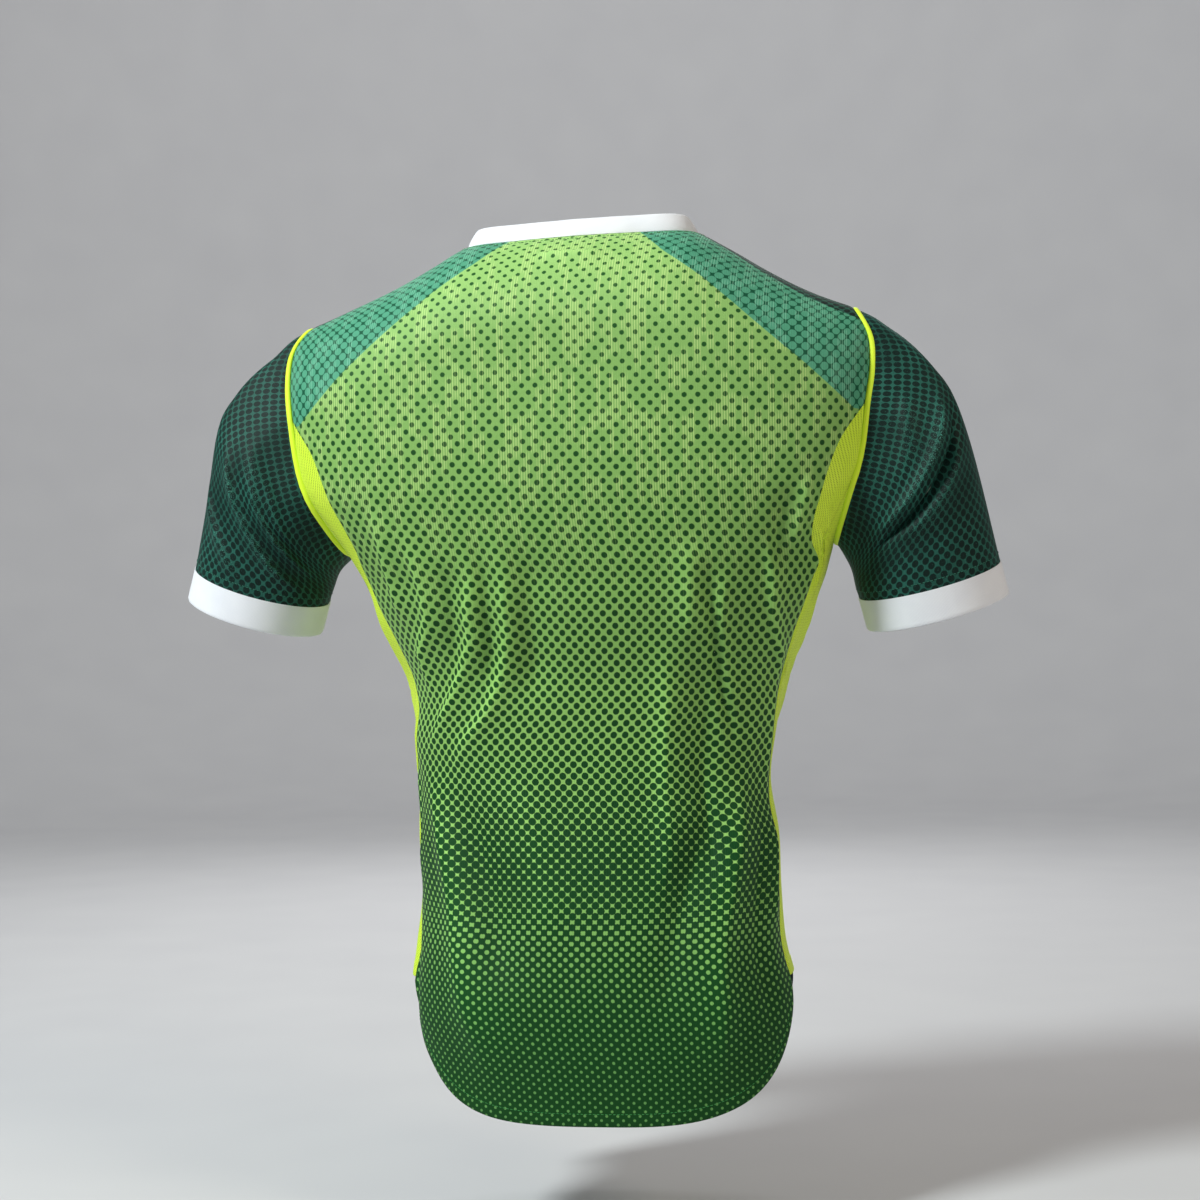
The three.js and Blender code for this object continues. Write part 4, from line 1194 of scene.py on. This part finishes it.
# Name, first and second colour, the ribs' period, roughness, the relief's depth and the sheen
RIBBED_CLOTHS = (
    ("white_rib", (226, 228, 236), (240, 241, 245), 1.1, 0.55, 0.08, 0.2),
    ("neon_piping_tape", (214, 248, 46), (232, 254, 70), 0.9, 0.45, 0.06, 0.1),
    ("back_reverse", (176, 200, 158), (196, 216, 180), 1.45, 0.7, 0.1, 0.1),
    ("dark_reverse", (92, 112, 104), (116, 134, 126), 1.45, 0.7, 0.1, 0.1),
)

STITCHED_EDGES = (
    ("back_panel", "hem_thread"), ("front_panel", "hem_thread"), ("side_panel_left", "neon_thread"),
    ("side_panel_right", "neon_thread"), ("sleeve_left", "dark_thread"), ("sleeve_right", "dark_thread"),
)

# The lime thread is darker than the cloth beside the collar: partly the thread's own dark dashes, partly
# painted shade of the seam line
THREADS = (("lime_thread", (66, 116, 52)), ("hem_thread", (52, 118, 62)), ("dark_thread", (40, 92, 76)),
           ("neon_thread", (196, 232, 80)))


# What each sheet is sewn to and rests on
PANELS = ["back_panel", "front_panel"]
RESTS_ON = {
    "back_panel": ["collar"], "front_panel": ["collar"], "collar": [],
    "side_panel_left": PANELS, "side_panel_right": PANELS,
    "sleeve_left": ["piping_left"], "sleeve_right": ["piping_right"],
    "cuff_left": ["sleeve_left"], "cuff_right": ["sleeve_right"],
}


def make_materials():
    made = [back_print(), net_print("front_halftone", True), net_print("sleeve_halftone", False), neon_mesh(),
            *(ribbed_cloth(*row) for row in RIBBED_CLOTHS), *(thread(*row) for row in THREADS)]
    return {material.name: material for material in made}


def new_sheet(name, slot, rows, plain, outward, cloth, seams, **more):
    """A sheet of cloth: its rows of points with and without folds, its thickness and its sewn edges."""
    return {"name": name, "slot": slot, "rows": rows, "plain": plain, "outward": outward, "cloth": cloth,
            "seams": seams, "closed": True, "hem": False, "crown": 0, **more}


def jersey_sheets():
    """Every sheet of the jersey, with its print's places."""
    side = side_panel()
    body = folded_body([
        new_sheet(name, slot, slid(rows), rows, outward, CLOTH, ("top", "start", "end"),
                  closed=False, hem=True)
        for name, slot, rows, outward in (
            ("back_panel", "back_print", body_panel("back"), -1),
            ("front_panel", "front_print", body_panel("front"), 1),
            ("side_panel_left", "neon_mesh", side, -1),
            ("side_panel_right", "neon_mesh", side * (-1, 1, 1), 1),
        )
    ])
    back, front, *sides = body
    for sheet, face in ((back, "back"), (front, "front")):
        sheet["layers"] = panel_layers(sheet, face)
    for sheet in sides:
        sheet["layers"] = side_layers(sheet["plain"])

    for hand, name, side, column in ((1, "left", sides[0], -1), (-1, "right", sides[1], 0)):
        loop, turn = armhole(back["rows"], front["rows"], side["rows"], column)
        piping, sleeve, cuff, plain, ridge = arm_sheets(loop, turn, hand, SLEEVE_FOLDS[name])
        body += [
            new_sheet(f"piping_{name}", "neon_piping", piping, piping, hand, PIPING_CLOTH, ("bottom", "top"),
                      layers=ring_layers(piping, turn), crown=PIPING_CROWN),
            new_sheet(f"sleeve_{name}", "sleeve_print", sleeve, plain, hand, CLOTH, ("bottom", "top"),
                      layers=ring_layers(plain, turn, ridge=ridge)),
            new_sheet(f"cuff_{name}", "white_band", cuff, cuff, hand, BAND_CLOTH, ("bottom",),
                      layers=ring_layers(cuff, turn)),
        ]
    band = collar_rows(neck_ring(back["rows"], front["rows"]))
    turn = np.linspace(0, 360, band.shape[1], endpoint=False)
    body.append(new_sheet("collar", "white_band", band, band, -1, BAND_CLOTH, ("bottom",),
                          layers=ring_layers(band, turn)))
    return body


def flat_size(sheet):
    """The cut's greatest width and length and its area, in metres, from the form without folds."""
    rows = sheet["plain"]
    level = wrapped(rows) if sheet["closed"] else rows * (1, 1, 0)
    width = lengths_along(level, axis=1)[:, -1].max()
    length = lengths_along(rows)[-1].max()
    area = np.linalg.norm(cell_crosses(sheet, rows), axis=-1).sum() / 2
    return (width * MM, length * MM), min(area, width * length) * MM**2


def offset_line(rows, edge, distance):
    """The points of each column at a distance from the grid's bottom or top edge."""
    up = lengths_along(rows)
    return rings_at(rows, up, up[:1] + distance if edge == "bottom" else up[-1:] - distance)[0]


def neck_stitch_path(back, front):
    """A ring on the body, the same distance out from the neckline all round."""
    ring = neck_ring(back["rows"], front["rows"])
    along = np.roll(ring, -1, axis=0) - np.roll(ring, 1, axis=0)
    outward = unit(np.cross(unit(along), neck_ring(back["normals"], front["normals"])))
    away = (ring - ring.mean(0)) * (1, 1, 0)
    return ring + outward * np.sign(np.sum(outward * away, -1, keepdims=True)) * COLLAR_STITCH


def make_jersey(materials):
    sheets = jersey_sheets()
    for sheet, normals in zip(sheets, shared_normals(sheets)):
        sheet["normals"] = normals
        sheet["piece"] = wall_piece(sheet, normals, materials)
    return sheets


def make_stitching(sheets, materials):
    """The stitching beside the collar, above the cuffs and along the hem, by the sheet it is on."""
    by_name = {sheet["name"]: sheet for sheet in sheets}
    back, front = by_name["back_panel"], by_name["front_panel"]
    rows = [("collar", neck_stitch_path(back, front), True, [back, front], "lime_thread")]
    for name, look in STITCHED_EDGES:
        sheet = by_name[name]
        edge, distance = ("bottom", HEM_DEPTH) if sheet["hem"] else ("top", CUFF_STITCH)
        path = offset_line(sheet["rows"], edge, distance)
        rows.append((name, path if sheet["closed"] else path[1:-1], sheet["closed"], [sheet], look))
    return [
        (stitch_row(f"{on}_stitching", path, closed, [s["surface"] for s in under], materials[look]), on)
        for on, path, closed, under, look in rows
    ]


def declare(sheets, stitching):
    """Attaches every piece and stitching row to the root and hides the solid each sheet replaces; each cut's
    size and the rows on it are worked out but not used.
    """
    pieces = {sheet["name"]: sheet["piece"] for sheet in sheets}
    for sheet in sheets:
        piece, name = sheet["piece"], sheet["name"]
        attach(piece, "root")
        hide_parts(name)
        if name in RESTS_ON:
            size, area = flat_size(sheet)
            on_it = [row for row, on in stitching if on == name]
            on_it += [pieces[f"piping_{side}"] for side in ("left", "right") if name == f"sleeve_{side}"]
    for row, on in stitching:
        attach(row, "root")


camera_back, camera_right = make_camera()
make_lights(camera_back, camera_right)
studio_floor()
looks = make_materials()
jersey = make_jersey(looks)
declare(jersey, make_stitching(jersey, looks))
